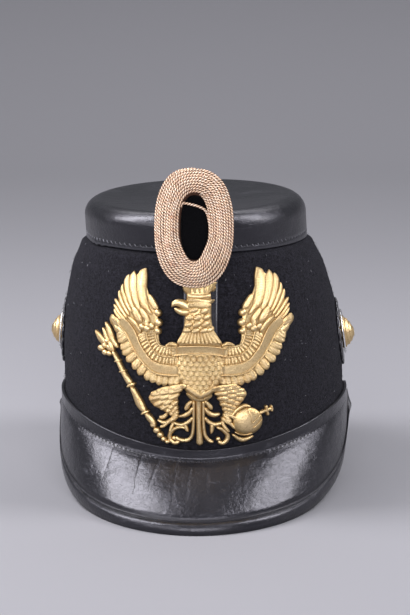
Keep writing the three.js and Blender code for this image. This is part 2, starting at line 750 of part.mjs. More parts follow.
// Fluted disc against the felt's side
function cockade(side) {
  const surface = (outer) => (u, v) => {
    const turn = u * 2 * Math.PI;
    const flute = u * COCKADE_FLUTES * 2;
    const notch = Math.round(flute) % 2 === 1 ? 0.05 : 0;
    const radius = (COCKADE_WIDTH / 2) * (1 - v) * (1 - (v === 0 ? notch : 0));
    const ridge = outer && v < 0.4 ? (notch > 0 ? 0.5 : 1) : 0.4;
    const lift = GAP + (outer ? COCKADE_THICK * ridge : 0);
    return onSide(side, radius * Math.sin(turn), COCKADE_Z + radius * Math.cos(turn), lift);
  };
  const us = steps(COCKADE_FLUTES * 2);
  return wall({ inner: surface(false), outer: surface(true), us, vs: [0, 0.3, 0.48, 1], loop: true, pole: true });
}

// Ring seated on the cockade
function cockadeRing(side) {
  const back = 2 * GAP + COCKADE_THICK;
  const surface = (outer) => (u, v) => {
    const turn = u * 2 * Math.PI;
    const radius = RING_WIDTH / 2 - RING_BAND * v;
    const rise = outer ? RING_THICK * (v === 0.5 ? 1 : 0.5) : 0;
    return onSide(side, radius * Math.sin(turn), COCKADE_Z + radius * Math.cos(turn), back + rise);
  };
  return wall({ inner: surface(false), outer: surface(true), us: steps(16), vs: [0, 0.5, 1], loop: true });
}

// Stepped brass dome in the middle of the ring
function rosette(side) {
  const back = 2 * GAP + COCKADE_THICK * 0.4;
  const rises = [
    { v: 0, rise: 0.22 },
    { v: 0.12, rise: 0.42 },
    { v: 0.3, rise: 0.5 },
    { v: 0.4, rise: 0.78 },
    { v: 0.62, rise: 0.84 },
    { v: 0.74, rise: 1 },
    { v: 1, rise: 1 },
  ];
  const surface = (outer) => (u, v) => {
    const turn = u * 2 * Math.PI;
    const radius = (ROSETTE_WIDTH / 2) * (1 - v);
    const rise = outer ? (ROSETTE_RISE + COCKADE_THICK) * read(rises, 'v', 'rise', v) : 0;
    return onSide(side, radius * Math.sin(turn), COCKADE_Z + radius * Math.cos(turn), back + rise);
  };
  const vs = rises.map((row) => row.v);
  return wall({ inner: surface(false), outer: surface(true), us: steps(12), vs, loop: true, pole: true });
}

const materials = {
  felt: { color: 0x14141a, roughness: 0.98, metalness: 0 },
  leather: { color: 0x111114, roughness: 0.35, metalness: 0 },
  brass: { color: 0xc49a4a, roughness: 0.35, metalness: 1 },
  cord: { color: 0xd2b096, roughness: 0.75, metalness: 0 },
  velvet: { color: 0x08080a, roughness: 1, metalness: 0 },
  silver: { color: 0xd8d8da, roughness: 0.3, metalness: 1 },
};

const group = new THREE.Group();
function add(name, geometry, finish) {
  const mesh = new THREE.Mesh(geometry, new THREE.MeshStandardMaterial(materials[finish]));
  mesh.name = name;
  group.add(mesh);
}

add('shell', shell(), 'felt');
add('crown_cap', crownCap(), 'leather');
const front = { facing: 0, reach: PEAK_REACH, side: PEAK_SIDE, span: PEAK_SPAN, rim: PEAK_RIM, columns: 24 };
const rear = { facing: Math.PI, reach: REAR_REACH, side: REAR_SIDE, span: REAR_SPAN, rim: REAR_RIM, columns: 14 };
add('front_peak', peak(front), 'leather');
add('rear_peak', peak(rear), 'leather');
add('badge_sleeve', badgeSleeve(), 'leather');
add('badge_backing', badgeBacking(), 'leather');
add('badge_cord', badgeCord(), 'cord');
add('badge_velvet', badgeVelvet(), 'velvet');
add('eagle_plate', eaglePlate(), 'brass');
for (const [name, side] of [['left', -1], ['right', 1]]) {
  add(`cockade_${name}`, cockade(side), 'leather');
  add(`cockade_ring_${name}`, cockadeRing(side), 'silver');
  add(`rosette_${name}`, rosette(side), 'brass');
}

// The origin is on the floor under the middle of the whole length and width
group.position.set(-section(COCKADE_Z).midX, (PEAK_REACH - REAR_REACH) / 2, 0);

export default group;
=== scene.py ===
"""Dresses the shako hat: felt, leather, the brass plate, the wound cord badge and the side cockades."""
import math

import bmesh
import bpy
import numpy as np
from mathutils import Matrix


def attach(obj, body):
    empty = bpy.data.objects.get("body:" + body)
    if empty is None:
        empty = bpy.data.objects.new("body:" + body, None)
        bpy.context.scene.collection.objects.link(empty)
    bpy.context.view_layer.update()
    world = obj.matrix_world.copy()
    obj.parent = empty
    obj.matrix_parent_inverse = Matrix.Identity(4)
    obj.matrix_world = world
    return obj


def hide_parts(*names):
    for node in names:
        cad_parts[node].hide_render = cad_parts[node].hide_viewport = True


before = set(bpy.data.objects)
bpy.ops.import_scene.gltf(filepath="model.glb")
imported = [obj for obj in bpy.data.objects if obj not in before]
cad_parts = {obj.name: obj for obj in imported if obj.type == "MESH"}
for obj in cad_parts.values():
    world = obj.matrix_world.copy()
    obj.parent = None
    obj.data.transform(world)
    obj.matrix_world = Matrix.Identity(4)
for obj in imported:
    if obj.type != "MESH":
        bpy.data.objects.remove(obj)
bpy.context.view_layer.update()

bl_info = {
    "name": "Shako Hat",
    "version": (1, 0, 0),
    "blender": (4, 5, 0),
    "location": "3D View > Sidebar > Shako Hat",
    "description": "Builds a felt shako with leather peaks, a brass plate, a wound cord badge and cockades",
    "category": "Add Mesh",
}

MM = 0.001

# Sizes in millimetres, as the frame's solids have them
BODY_WIDTH = 174
BODY_LENGTH = 200
CROWN_WIDTH = 135.2
CROWN_LENGTH = 163
CROWN_HEIGHT = 172
CROWN_FORWARD = 8
CROWN_LEAN = 5.9
CROWN_PITCH = 1.5
CROWN_ROLL = 1
CAP_SKIRT = 24.2
CAP_ROUND = 10
CAP_SINK = 3
CAP_TUCK = 5
CAP_EDGE = CROWN_HEIGHT - CAP_SKIRT
CAP_STRAIGHT = CAP_SKIRT - CAP_ROUND
FELT = 3
LEATHER = 2
GAP = 0.3
SEAT = 0.5
FRONT_SEAM = 36
SIDE_SEAM = 52.7
BACK_SEAM = 42
COLLAR = 5
BLADE = 50
FELT_TUCK = 6
PEAK_REACH = 47
PEAK_SIDE = 3
PEAK_SPAN = 95
REAR_REACH = 19
REAR_SIDE = 7
REAR_SPAN = 58
RIM_WIDTH = 3
COCKADE_Z = 86
PLATE_HEIGHT = 101
PLATE_FOOT = 38
PLATE_X = 2.3
PLATE_ROWS = 177
PLATE_ROW = PLATE_HEIGHT / PLATE_ROWS
PLATE_WIDEN = 1.014
PLATE_SHEET = 0.9
SCROLL_FULLNESS = 1.2
NECK_LIFT = 3.3
BADGE_WIDTH = 45.6
BADGE_HEIGHT = 66.6
BADGE_FULLNESS = 2.4
BADGE_OPENING_WIDTH = 15.8
BADGE_OPENING_HEIGHT = 36
BADGE_X = -0.6
BADGE_FOOT = 130.6
CROWN_RELIEF = 6.7
BADGE_LEAN = math.radians(8)
BADGE_DEPTH = 5.5
BADGE_BACKING = 1.2
SLEEVE_WIDTH = 19
SLEEVE_X = 2.6
SLEEVE_FOOT = 100.6
SLEEVE_TOP = 137.8
PRONG_WIDTH = 9
COCKADE_WIDTH = 42
COCKADE_FLUTES = 15
COCKADE_THICK = 1.8
RING_WIDTH = 27.5
RING_BAND = 2.6
RING_THICK = 1
ROSETTE_WIDTH = 21
ROSETTE_RISE = 6

# Sizes of the fine work that the solids leave out, in millimetres; turns in radians
CAP_STITCHES = 114
CAP_STITCH_RISE = 3.1
CAP_STITCH_HALF = 1.25
CAP_THREAD = 0.36
TEAR_TURN = -0.97
PEAK_STITCH = 3.6
PEAK_STITCH_DROP = 2.4
PEAK_ARM = 110
RIM_BEAD = 2.3
RIM_GROOVE = 1.3
FELT_ARM = 90
FIBRE_MARGIN = 3
CORD_RADIUS = 0.82
CORD_PITCH = 3.4
CORD_STEP = 0.34
CORD_PLIES = 2
CORD_SIDES = 6
SCALE_ROWS = 9
SCALE_STEP = 4.6
SCALE_PITCH = 2.9

# Share of the felt's rows below the crown's edge; the rest goes up under the crown
FELT_OPEN = 0.93

# The felt's profile: up is a share of the crown's height, out a share of the way from the crown
# to the foot
PROFILE_UP = np.array([0.0, 0.15, 0.35, 0.475, 0.55, 0.623, 0.695, 0.767, 0.803, 0.839])
PROFILE_OUT = np.array([1.0, 1.0, 0.98, 0.943, 0.866, 0.789, 0.644, 0.464, 0.304, 0.17])

# A peak's rim: turn is a share of the half span, rise a share of the side seam's height
FRONT_RIM_TURN = np.array([0, 0.3, 0.47, 0.63, 0.74, 0.84, 0.95, 1])
FRONT_RIM_RISE = np.array([0, 0, 0.02, 0.11, 0.23, 0.46, 0.76, 0.86])
REAR_RIM_TURN = np.array([0, 0.45, 0.7, 0.88, 1])
REAR_RIM_RISE = np.array([0, 0, 0.12, 0.4, 0.78])


def mix(a, b, t):
    """Straight blend from a to b."""
    return a + (b - a) * t


def ramp(low, high, t):
    """Smooth step from 0 below low to 1 above high."""
    s = np.clip((t - low) / (high - low), 0, 1)
    return s * s * (3 - 2 * s)


def bell(away, width):
    """1 where away is 0, falling off on both sides over a width."""
    return np.exp(-(away / width) ** 2)


def full_turn(count):
    """Even turns once around."""
    return np.linspace(0, 2 * math.pi, count, endpoint=False)


def grid(us, vs):
    """Two arrays over the grid of u and v, rows along v."""
    return np.meshgrid(np.asarray(us, float), np.asarray(vs, float))


def through(xs, ys, at):
    """Smooth curve through the points xs, ys: cubic pieces whose slopes are limited so none overshoots."""
    slope = np.diff(ys) / np.diff(xs)
    before, after = slope[:-1], slope[1:]
    inner = np.where(after * before > 0, 2 * after * before / (after + before + 1e-12), 0)
    tangent = np.concatenate([[slope[0]], inner, [slope[-1]]])
    at = np.clip(at, xs[0], xs[-1])
    i = np.clip(np.searchsorted(xs, at, side="right") - 1, 0, len(xs) - 2)
    width = xs[i + 1] - xs[i]
    t = (at - xs[i]) / width
    a = (1 + 2 * t) * (1 - t) ** 2 * ys[i] + t * (1 - t) ** 2 * width * tangent[i]
    b = t * t * (3 - 2 * t) * ys[i + 1] + t * t * (t - 1) * width * tangent[i + 1]
    return a + b


def section(z):
    """Half width, half length and centre of the felt's horizontal section at the heights z."""
    up = np.asarray(z, float) / CROWN_HEIGHT
    edge_up = (CAP_EDGE - GAP) / CROWN_HEIGHT
    neck = -(LEATHER + GAP) / ((BODY_WIDTH - CROWN_WIDTH) / 2)
    out = through(PROFILE_UP, PROFILE_OUT, up)
    out = mix(out, neck, np.clip((up - PROFILE_UP[-1]) / (edge_up - PROFILE_UP[-1]), 0, 1))
    lean = np.clip((up - 0.2) / 0.8, 0, 1)
    half_x = (CROWN_WIDTH + out * (BODY_WIDTH - CROWN_WIDTH)) / 2
    half_y = (CROWN_LENGTH + out * (BODY_LENGTH - CROWN_LENGTH)) / 2
    return half_x, half_y, -CROWN_LEAN * lean ** 1.3, -CROWN_FORWARD * lean


# The frame's origin lies under the middle of the hat, which these shifts bring it to
SHIFT = np.array([-float(section(COCKADE_Z)[2]), (PEAK_REACH - REAR_REACH) / 2, 0])


def around(turn, z, lift=0):
    """Point of the felt's outside at a turn from the front, moved out by a lift."""
    half_x, half_y, mid_x, mid_y = section(z)
    x = mid_x + (half_x + lift) * np.sin(turn)
    y = mid_y - (half_y + lift) * np.cos(turn)
    return np.stack(np.broadcast_arrays(x, y, z), -1)


def front_depth(x, z):
    """Depth of the felt's front at x and z: the near half of the section's ellipse."""
    half_x, half_y, mid_x, mid_y = section(z)
    return mid_y - half_y * np.sqrt(np.maximum(0, 1 - ((x - mid_x) / half_x) ** 2))


def on_front(x, z, lift):
    """Point in front of the felt at x and z, lifted along the felt's normal, found from its slopes."""
    probe = 0.5
    slope_x = (front_depth(x + probe, z) - front_depth(x - probe, z)) / (2 * probe)
    slope_z = (front_depth(x, z + probe) - front_depth(x, z - probe)) / (2 * probe)
    size = np.sqrt(slope_x ** 2 + 1 + slope_z ** 2)
    y = front_depth(x, z) - lift / size
    return np.stack(np.broadcast_arrays(x + slope_x * lift / size, y, z + slope_z * lift / size), -1)


def on_side(side, y, z, lift):
    """Point beside the felt at y and z on one side, lifted sideways."""
    half_x, half_y, mid_x, mid_y = section(z)
    x = mid_x + side * (half_x * np.sqrt(1 - ((y - mid_y) / half_y) ** 2) + lift)
    return np.stack(np.broadcast_arrays(x, y, z), -1)


def seam(turn):
    """Height of the felt and leather seam: it dips at the front and the back and arches at the sides."""
    end = np.where(np.cos(turn) > 0, FRONT_SEAM, BACK_SEAM)
    return mix(end, SIDE_SEAM, np.abs(np.sin(turn)) ** 1.8)


def ripple(*angles, seed=0, count=6):
    """Soft unevenness between -1 and 1: a sum of sines of the given coordinates with seeded waves."""
    rng = np.random.default_rng(seed)
    total = 0
    for _ in range(count):
        phase = rng.uniform(0, 2 * math.pi)
        for angle in angles:
            phase = phase + angle * rng.uniform(-1, 1)
        total = total + np.sin(phase)
    return total / count


def curve(rows, count):
    """Smooth line through rows of numbers: each stretch is a cubic with the slope of its neighbours. Its
    points stand closer together towards both ends."""
    rows = np.asarray(rows, float)
    padded = np.concatenate([[2 * rows[0] - rows[1]], rows, [2 * rows[-1] - rows[-2]]])
    t = np.linspace(0, 1, count)
    at = mix(t, (1 - np.cos(t * math.pi)) / 2, 0.6) * (len(rows) - 1)
    i = np.minimum(at.astype(int), len(rows) - 2)
    t = (at - i)[:, None]
    a, b, c, d = padded[i], padded[i + 1], padded[i + 2], padded[i + 3]
    square = (2 * a - 5 * b + 4 * c - d) * t ** 2
    cube = (3 * b - a - 3 * c + d) * t ** 3
    return 0.5 * (2 * b + (c - a) * t + square + cube)


class Mesh:
    """Collects closed surfaces of quads into one mesh, with a UV map and a relief value: 0 in the
    hollows, 1 on what stands proud."""

    def __init__(self):
        self.points = []
        self.faces = []
        self.uvs = []
        self.reliefs = []
        self.count = 0

    def add(self, points, faces, uv=None, relief=None):
        """Adds points and the quads between them, which count from the first of these points."""
        points = points.reshape(-1, 3)
        self.points.append(points)
        self.faces.append(faces.reshape(-1, 4) + self.count)
        self.uvs.append(np.zeros((len(points), 2)) if uv is None else uv.reshape(-1, 2))
        self.reliefs.append(np.full(len(points), 0.5) if relief is None else relief.ravel())
        self.count += len(points)

    def wall(self, inner, outer, loop=False, uv=None, relief=None):
        """A closed wall between two grids of points: their faces, and a strip along each free edge."""
        rows, columns = outer.shape[:2]
        ids = np.arange(rows * columns).reshape(rows, columns)
        if loop:
            ids = np.concatenate([ids, ids[:, :1]], 1)
        a, b, c, d = ids[:-1, :-1], ids[:-1, 1:], ids[1:, 1:], ids[1:, :-1]
        front = np.stack([a, b, c, d], -1).reshape(-1, 4)
        size = rows * columns
        back = front[:, ::-1] + size

        def strip(line):
            near, far = line[:-1], line[1:]
            return np.stack([far, near, near + size, far + size], -1)

        edges = [strip(ids[0]), strip(ids[-1][::-1])]
        if not loop:
            edges += [strip(ids[:, 0][::-1]), strip(ids[:, -1])]
        faces = np.concatenate([front, back, *edges])
        uv = None if uv is None else np.concatenate([uv.reshape(-1, 2)] * 2)
        # The inner faces get relief 0, so the leather and brass finishes paint them with their painted hollow
        # shade.
        relief = None if relief is None else np.concatenate([relief.ravel(), np.zeros(size)])
        self.add(np.concatenate([outer.reshape(-1, 3), inner.reshape(-1, 3)]), faces, uv, relief)

    def tube(self, rings, uv=None, relief=None):
        """A closed tube through rings of points, with its ends drawn together at their middles."""
        first = np.repeat(rings[:1].mean(1, keepdims=True), rings.shape[1], 1)
        last = np.repeat(rings[-1:].mean(1, keepdims=True), rings.shape[1], 1)
        whole = np.concatenate([first, rings, last])
        count, sides = whole.shape[:2]
        ids = np.arange(count * sides).reshape(count, sides)
        turned = np.roll(ids, -1, 1)
        faces = np.stack([ids[:-1], turned[:-1], turned[1:], ids[1:]], -1)
        if uv is not None:
            uv = np.concatenate([uv[:1], uv, uv[-1:]])
        if relief is not None:
            relief = np.concatenate([relief[:1], relief, relief[-1:]])
        self.add(whole, faces, uv, relief)

    def build(self, name, material, merge=1e-7):
        """Makes the object in metres in the frame, with its doubles merged and its normals out."""
        points = (np.concatenate(self.points) + SHIFT) * MM
        faces = np.concatenate(self.faces)
        uvs = np.concatenate(self.uvs)
        mesh = bpy.data.meshes.new(name)
        mesh.vertices.add(len(points))
        mesh.vertices.foreach_set("co", points.ravel())
        mesh.loops.add(faces.size)
        mesh.loops.foreach_set("vertex_index", faces.ravel())
        mesh.polygons.add(len(faces))
        mesh.polygons.foreach_set("loop_start", np.arange(0, faces.size, 4))
        mesh.uv_layers.new(name="surface").data.foreach_set("uv", uvs[faces.ravel()].ravel())
        reliefs = mesh.attributes.new("relief", "FLOAT", "POINT")
        reliefs.data.foreach_set("value", np.concatenate(self.reliefs))
        mesh.update(calc_edges=True)
        mesh.validate()
        work = bmesh.new()
        work.from_mesh(mesh)
        bmesh.ops.remove_doubles(work, verts=work.verts, dist=merge)
        bmesh.ops.dissolve_degenerate(work, edges=work.edges, dist=1e-7)
        bmesh.ops.recalc_face_normals(work, faces=work.faces)
        work.to_mesh(mesh)
        work.free()
        mesh.polygons.foreach_set("use_smooth", np.full(len(mesh.polygons), True))
        mesh.materials.append(material)
        obj = bpy.data.objects.new(name, mesh)
        bpy.context.scene.collection.objects.link(obj)
        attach(obj, "root")
        return obj


class Number:
    """A number in a shader, so that its sums are written as Python: each operator adds a Math node."""

    def __init__(self, finish, socket):
        self.finish = finish
        self.socket = socket

    def math(self, operation, *others, clamp=False):
        """The result of an operation on this number and others."""
        settings = {"operation": operation, "use_clamp": clamp}
        node = self.finish.node("ShaderNodeMath", settings, dict(enumerate((self, *others))))
        return Number(self.finish, node.outputs[0])

    def __add__(self, other):
        return self.math("ADD", other)

    __radd__ = __add__

    def __mul__(self, other):
        return self.math("MULTIPLY", other)

    __rmul__ = __mul__

    def __sub__(self, other):
        return self.math("SUBTRACT", other)

    def __rsub__(self, other):
        return (self * -1) + other

    def __truediv__(self, other):
        return self.math("DIVIDE", other)

    def size(self, other):
        """Length of the vector that has this number and another as its parts."""
        return (self * self + other * other).math("SQRT")

    def clamped(self):
        """This number, kept from 0 to 1."""
        return self.math("ADD", 0, clamp=True)

    def between(self, low, high):
        """0 below low, 1 above high and smooth between them."""
        node = self.finish.node("ShaderNodeMapRange", {"interpolation_type": "SMOOTHSTEP"},
                                {"Value": self, "From Min": low, "From Max": high})
        return Number(self.finish, node.outputs["Result"])


class Finish:
    """One material: a Principled shader and the nodes that feed it."""

    def __init__(self, name, fixed):
        self.material = bpy.data.materials.new(name)
        self.material.use_nodes = True
        self.tree = self.material.node_tree
        self.tree.nodes.clear()
        self.shader = self.node("ShaderNodeBsdfPrincipled", {}, fixed)
        self.node("ShaderNodeOutputMaterial", {}, {"Surface": self.shader.outputs[0]})
        self.coordinates = self.node("ShaderNodeTexCoord", {}, {})

    def feed(self, socket, value):
        """Links a number or a socket to a socket, or sets it to a value."""
        if isinstance(value, Number):
            value = value.socket
        if isinstance(value, bpy.types.NodeSocket):
            self.tree.links.new(value, socket)
        elif socket.type == "RGBA" and len(value) == 3:
            socket.default_value = (*value, 1)
        else:
            socket.default_value = value

    def node(self, kind, settings, inputs):
        """A node of a kind: its settings first, then the values or links of its sockets."""
        node = self.tree.nodes.new(kind)
        for key, value in settings.items():
            setattr(node, key, value)
        for key, value in inputs.items():
            self.feed(node.inputs[key], value)
        return node

    def place(self, scale=(1, 1, 1), turn=(0, 0, 0)):
        """Object coordinates stretched by a scale and turned."""
        inputs = {"Vector": self.coordinates.outputs["Object"], "Scale": scale, "Rotation": turn}
        return self.node("ShaderNodeMapping", {}, inputs).outputs[0]

    def noise(self, scale, detail, rough, where=None, distortion=0.0):
        """Cloudy noise over the object coordinates, or over others, around 0.5."""
        inputs = {"Vector": where or self.coordinates.outputs["Object"], "Scale": scale,
                  "Detail": detail, "Roughness": rough, "Distortion": distortion}
        return Number(self, self.node("ShaderNodeTexNoise", {}, inputs).outputs["Fac"])

    def cells(self, scale, feature="F1"):
        """Distance from the nearest of scattered points."""
        inputs = {"Vector": self.coordinates.outputs["Object"], "Scale": scale}
        node = self.node("ShaderNodeTexVoronoi", {"feature": feature}, inputs)
        return Number(self, node.outputs["Distance"])

    def blend(self, factor, first, second):
        """Mixes two colours."""
        inputs = {0: factor, 6: first, 7: second}
        return self.node("ShaderNodeMix", {"data_type": "RGBA"}, inputs).outputs[2]

    def uv(self):
        """The piece's own U and V as numbers."""
        node = self.node("ShaderNodeSeparateXYZ", {}, {"Vector": self.coordinates.outputs["UV"]})
        return Number(self, node.outputs[0]), Number(self, node.outputs[1])

    def relief(self):
        """The piece's own relief value: 0 in its hollows and 1 where it stands proud."""
        return Number(self, self.node("ShaderNodeAttribute", {"attribute_name": "relief"}, {}).outputs["Fac"])

    def near_line(self, u, v, line):
        """1 on a straight line of the surface and 0 off it; the line has both ends and a half width."""
        ax, ay, bx, by, half = line
        dx, dy = bx - ax, by - ay
        along = (((u - ax) * dx + (v - ay) * dy) / (dx * dx + dy * dy)).clamped()
        away = (u - along * dx - ax).size(v - along * dy - ay)
        return 1 - away.between(half * 0.3, half)

    def pits(self, u, v, pitch, height, wide, tall, slant):
        """A row of stitch holes along u at a height in v: 1 in a hole and 0 outside it."""
        up = v - height
        across = ((u / pitch).math("FRACT") - 0.5) * pitch + up * slant
        return 1 - (across / wide).size(up / tall).between(0.45, 1)

    def finish(self, color, rough=None, bump=None, distance=0.0, strength=0.0):
        """Feeds the shader, with a height field turned into a normal by one Bump node."""
        self.feed(self.shader.inputs["Base Color"], color)
        if rough is not None:
            self.feed(self.shader.inputs["Roughness"], rough)
        if bump is not None:
            inputs = {"Height": bump, "Distance": distance, "Strength": strength}
            node = self.node("ShaderNodeBump", {}, inputs)
            self.feed(self.shader.inputs["Normal"], node.outputs[0])
        return self.material


def tint(color, *factors, more=0.0):
    """A colour times one factor, or times one for each of its parts, with a little added."""
    return tuple(part * factor + more for part, factor in zip(color, factors * 3))


def felt_finish(color):
    """Black wool felt: short fibres lying in all directions, a faint bluish bloom and stray pale lint."""
    f = Finish("felt", {"Roughness": 0.95, "Sheen Weight": 0.04, "Sheen Roughness": 0.5,
                        "Sheen Tint": (0.7, 0.7, 0.8), "Specular IOR Level": 0.12})
    nap = f.noise(620, 5, 0.8)
    fibres = f.noise(300, 4, 0.75, f.place((1, 1, 3.2), (0.4, 0.2, 0.5)), 1.5)
    crossing = f.noise(340, 4, 0.75, f.place((3.4, 1, 1), (0.1, 0.5, 1.1)), 1.5)
    cloudy = f.noise(28, 3, 0.6)
    speck = 1 - f.cells(240).between(0.04, 0.09)
    chosen = f.noise(90, 2, 0.5).between(0.6, 0.66)
    tone = (fibres * 0.35 + crossing * 0.25 + nap * 0.4).between(0.4, 0.62)
    shade = f.blend(tone, tint(color, 0.25), tint(color, 3.2, more=0.002))
    shade = f.blend(cloudy.between(0.45, 0.75) * 0.25, shade, tint(color, 2))
    shade = f.blend(speck * chosen * 0.8, shade, (0.3, 0.3, 0.33))
    return f.finish(shade, None, fibres * 0.4 + crossing * 0.3 + nap * 0.8, 0.0014, 1.0)


# Cracks of the front peak: both ends across and down the blade, and half width, in millimetres
CRACKS = [
    (-38, -1, -43.5, 31, 0.36),
    (-25, 2, -33, 27, 0.32),
    (-11.5, -1, -15, 33, 0.34),
    (-3, 8, -5, 34, 0.3),
    (-61, -2, -70, 30, 0.36),
    (-52, 3, -35, 1.5, 0.45),
    (-50, 6.5, -33, 4.5, 0.35),
    (-30, 3.5, -21, 1.5, 0.35),
    (9, 12, 10, 26, 0.25),
    (31, 8, 34, 30, 0.25),
]


def leather_finish(name, color, gloss, wear, coat, holes=None, cracks=()):
    """Old polished black leather: pores, fine creases, scuffs and dull dust, with painted shade in its
    hollows, and a row of stitch holes and long cracks, both with painted shade, where they are asked for."""
    f = Finish(name, {"Roughness": gloss, "Coat Weight": coat, "Coat Roughness": 0.22,
                      "Specular Tint": (0.9, 0.88, 1)})
    relief = f.relief()
    u, v = f.uv()
    grain = f.cells(1500, "SMOOTH_F1")
    pores = f.cells(620)
    wrinkle = f.noise(210, 5, 0.65, f.place((1, 1, 2.2)), 0.8)
    broad = f.noise(30, 4, 0.6)
    waves = f.noise(75, 3, 0.6, f.place((1, 1, 1.6), (0.2, 0.1, 0)))
    scuff = f.noise(70, 6, 0.75, f.place((1, 1, 3.5), (0.5, 0, 0.4)), 0.6)
    bare = (scuff.between(0.56, 0.74) * wear + relief.between(0.75, 1.0) * 0.7).clamped()
    dusty = broad.between(0.42, 0.72)
    # sunk marks the hollows, cracks and stitch holes: they get painted shade and more roughness
    sunk = 1 - relief.between(0.0, 0.35)
    open_line = 0
    if cracks:
        wavy = u + (f.noise(90, 4, 0.7) - 0.5) * 7
        for line in cracks:
            open_line = f.near_line(wavy, v, line) + open_line
        open_line = open_line.clamped()
        sunk = (sunk + open_line).clamped()
    if holes:
        pit = f.pits(u, v, *holes)
        sunk = (sunk + pit).clamped()
        open_line = open_line + pit * 4
    shade = f.blend(dusty * 0.4, color, tint(color, 1.5, more=0.002))
    shade = f.blend(bare * 0.5, shade, (0.06, 0.06, 0.07))
    # Painted shade: the hollows, cracks and stitch holes go near black
    shade = f.blend(sunk * 0.9, shade, (0.001, 0.001, 0.0015))
    rough = gloss + dusty * 0.1 + bare * 0.16 + pores * 0.05 + sunk * 0.45
    bump = grain * 0.16 + pores * 0.16 + wrinkle * 0.8 + waves * 2.2 * wear - open_line * 0.4
    return f.finish(shade, rough.clamped(), bump, 0.0006, 0.55)


def brass_finish(name, color):
    """Stamped brass, once gilt: painted highlight on the raised faces, painted shade of dark brown in the
    hollows, which are also dull, and finely barbed."""
    f = Finish(name, {"Metallic": 1})
    relief = f.relief()
    u, v = f.uv()
    barb = ((v + u.math("ABSOLUTE") * 0.9) * 1.1).math("FRACT")
    barbs = (barb - 0.5).math("ABSOLUTE") * 2
    deep = 1 - relief.between(0.0, 0.22)
    stain = f.noise(150, 5, 0.7).between(0.46, 0.68)
    dents = f.noise(480, 3, 0.6)
    pits = f.noise(1200, 4, 0.7)
    shade = f.blend(stain * 0.5, color, tint(color, 0.84, 0.68, 0.55))
    # Painted highlight: the raised faces are made lighter
    shade = f.blend(relief.between(0.6, 1.0) * 0.6, shade, tint(color, 1.32, 1.38, 1.6))
    # Painted shade: the hollows are made dark brown
    shade = f.blend(deep * 0.7, shade, tint(color, 0.36, 0.26, 0.17))
    shade = f.blend(pits.between(0.5, 0.64) * 0.4, shade, tint(color, 0.5, 0.38, 0.3))
    rough = 0.34 + deep * 0.25 + stain * 0.1 + pits * 0.1
    return f.finish(shade, rough.clamped(), pits * 0.6 + dents * 1.1 + barbs * 0.8, 0.0003, 0.8)


def cord_finish(name, color):
    """Cord of metal thread over a pink core: wraps slant across the strand, worn to the core in places, with
    painted glints on the plies' fronts and painted shade between the plies.
    """
    f = Finish(name, {"Metallic": 0.4})
    u, v = f.uv()
    thread = ((v * 3.2 + u).math("FRACT") - 0.5).math("ABSOLUTE").between(0.18, 0.42)
    worn = f.noise(260, 4, 0.75).between(0.48, 0.62)
    glint = f.noise(520, 2, 0.5).between(0.45, 0.54)
    bare = f.noise(430, 3, 0.7).between(0.54, 0.64)
    relief = f.relief()
    deep = 1 - relief.between(0.56, 0.95)
    shade = f.blend(worn * 0.6, color, tint(color, 0.72, 0.5, 0.42))
    # Painted highlight: pale glints where the plies stand furthest to the front
    shade = f.blend(glint * relief.between(0.78, 0.98) * 0.8, shade, (1.0, 0.88, 0.74))
    shade = f.blend(thread * 0.25, shade, tint(color, 0.6))
    shade = f.blend(bare * 0.35, shade, tint(color, 0.4, 0.27, 0.22))
    # Painted shade: dark brown where the plies lie back, between them
    shade = f.blend(deep * 0.84, shade, (0.1, 0.045, 0.026))
    rough = 0.34 + worn * 0.25 + deep * 0.3
    return f.finish(shade, rough, thread * -0.5 + worn * 0.3, 0.0002, 0.7)


def velvet_finish(color):
    """Deep black pile."""
    f = Finish("velvet", {"Roughness": 1.0, "Sheen Weight": 0.06, "Sheen Roughness": 0.3,
                          "Specular IOR Level": 0.1})
    pile = f.noise(1500, 4, 0.7)
    shade = f.blend(pile.between(0.4, 0.7), tint(color, 0.4), color)
    return f.finish(shade, None, pile, 0.0006, 0.8)


def metal_finish(name, color):
    """Silvered metal, lightly scratched."""
    f = Finish(name, {"Metallic": 1})
    scratch = f.noise(800, 4, 0.7, f.place((1, 5, 1)))
    tarnish = f.noise(260, 4, 0.6).between(0.55, 0.75)
    shade = f.blend(tarnish * 0.4, color, tint(color, 0.5))
    return f.finish(shade, 0.2 + tarnish * 0.25 + scratch * 0.1, scratch, 0.0002, 0.3)


def thread_finish(name, color):
    """Thread or lint, dull and a little dusty."""
    f = Finish(name, {"Roughness": 0.6})
    dust = f.noise(300, 3, 0.6).between(0.4, 0.65)
    return f.finish(f.blend(dust, color, tint(color, 2)))


def floor_finish(color):
    """Plain pale paper."""
    f = Finish("floor", {"Roughness": 0.8, "Specular IOR Level": 0.2})
    return f.finish(f.blend(f.noise(6, 2, 0.5) * 0.15, color, tint(color, 0.94)))


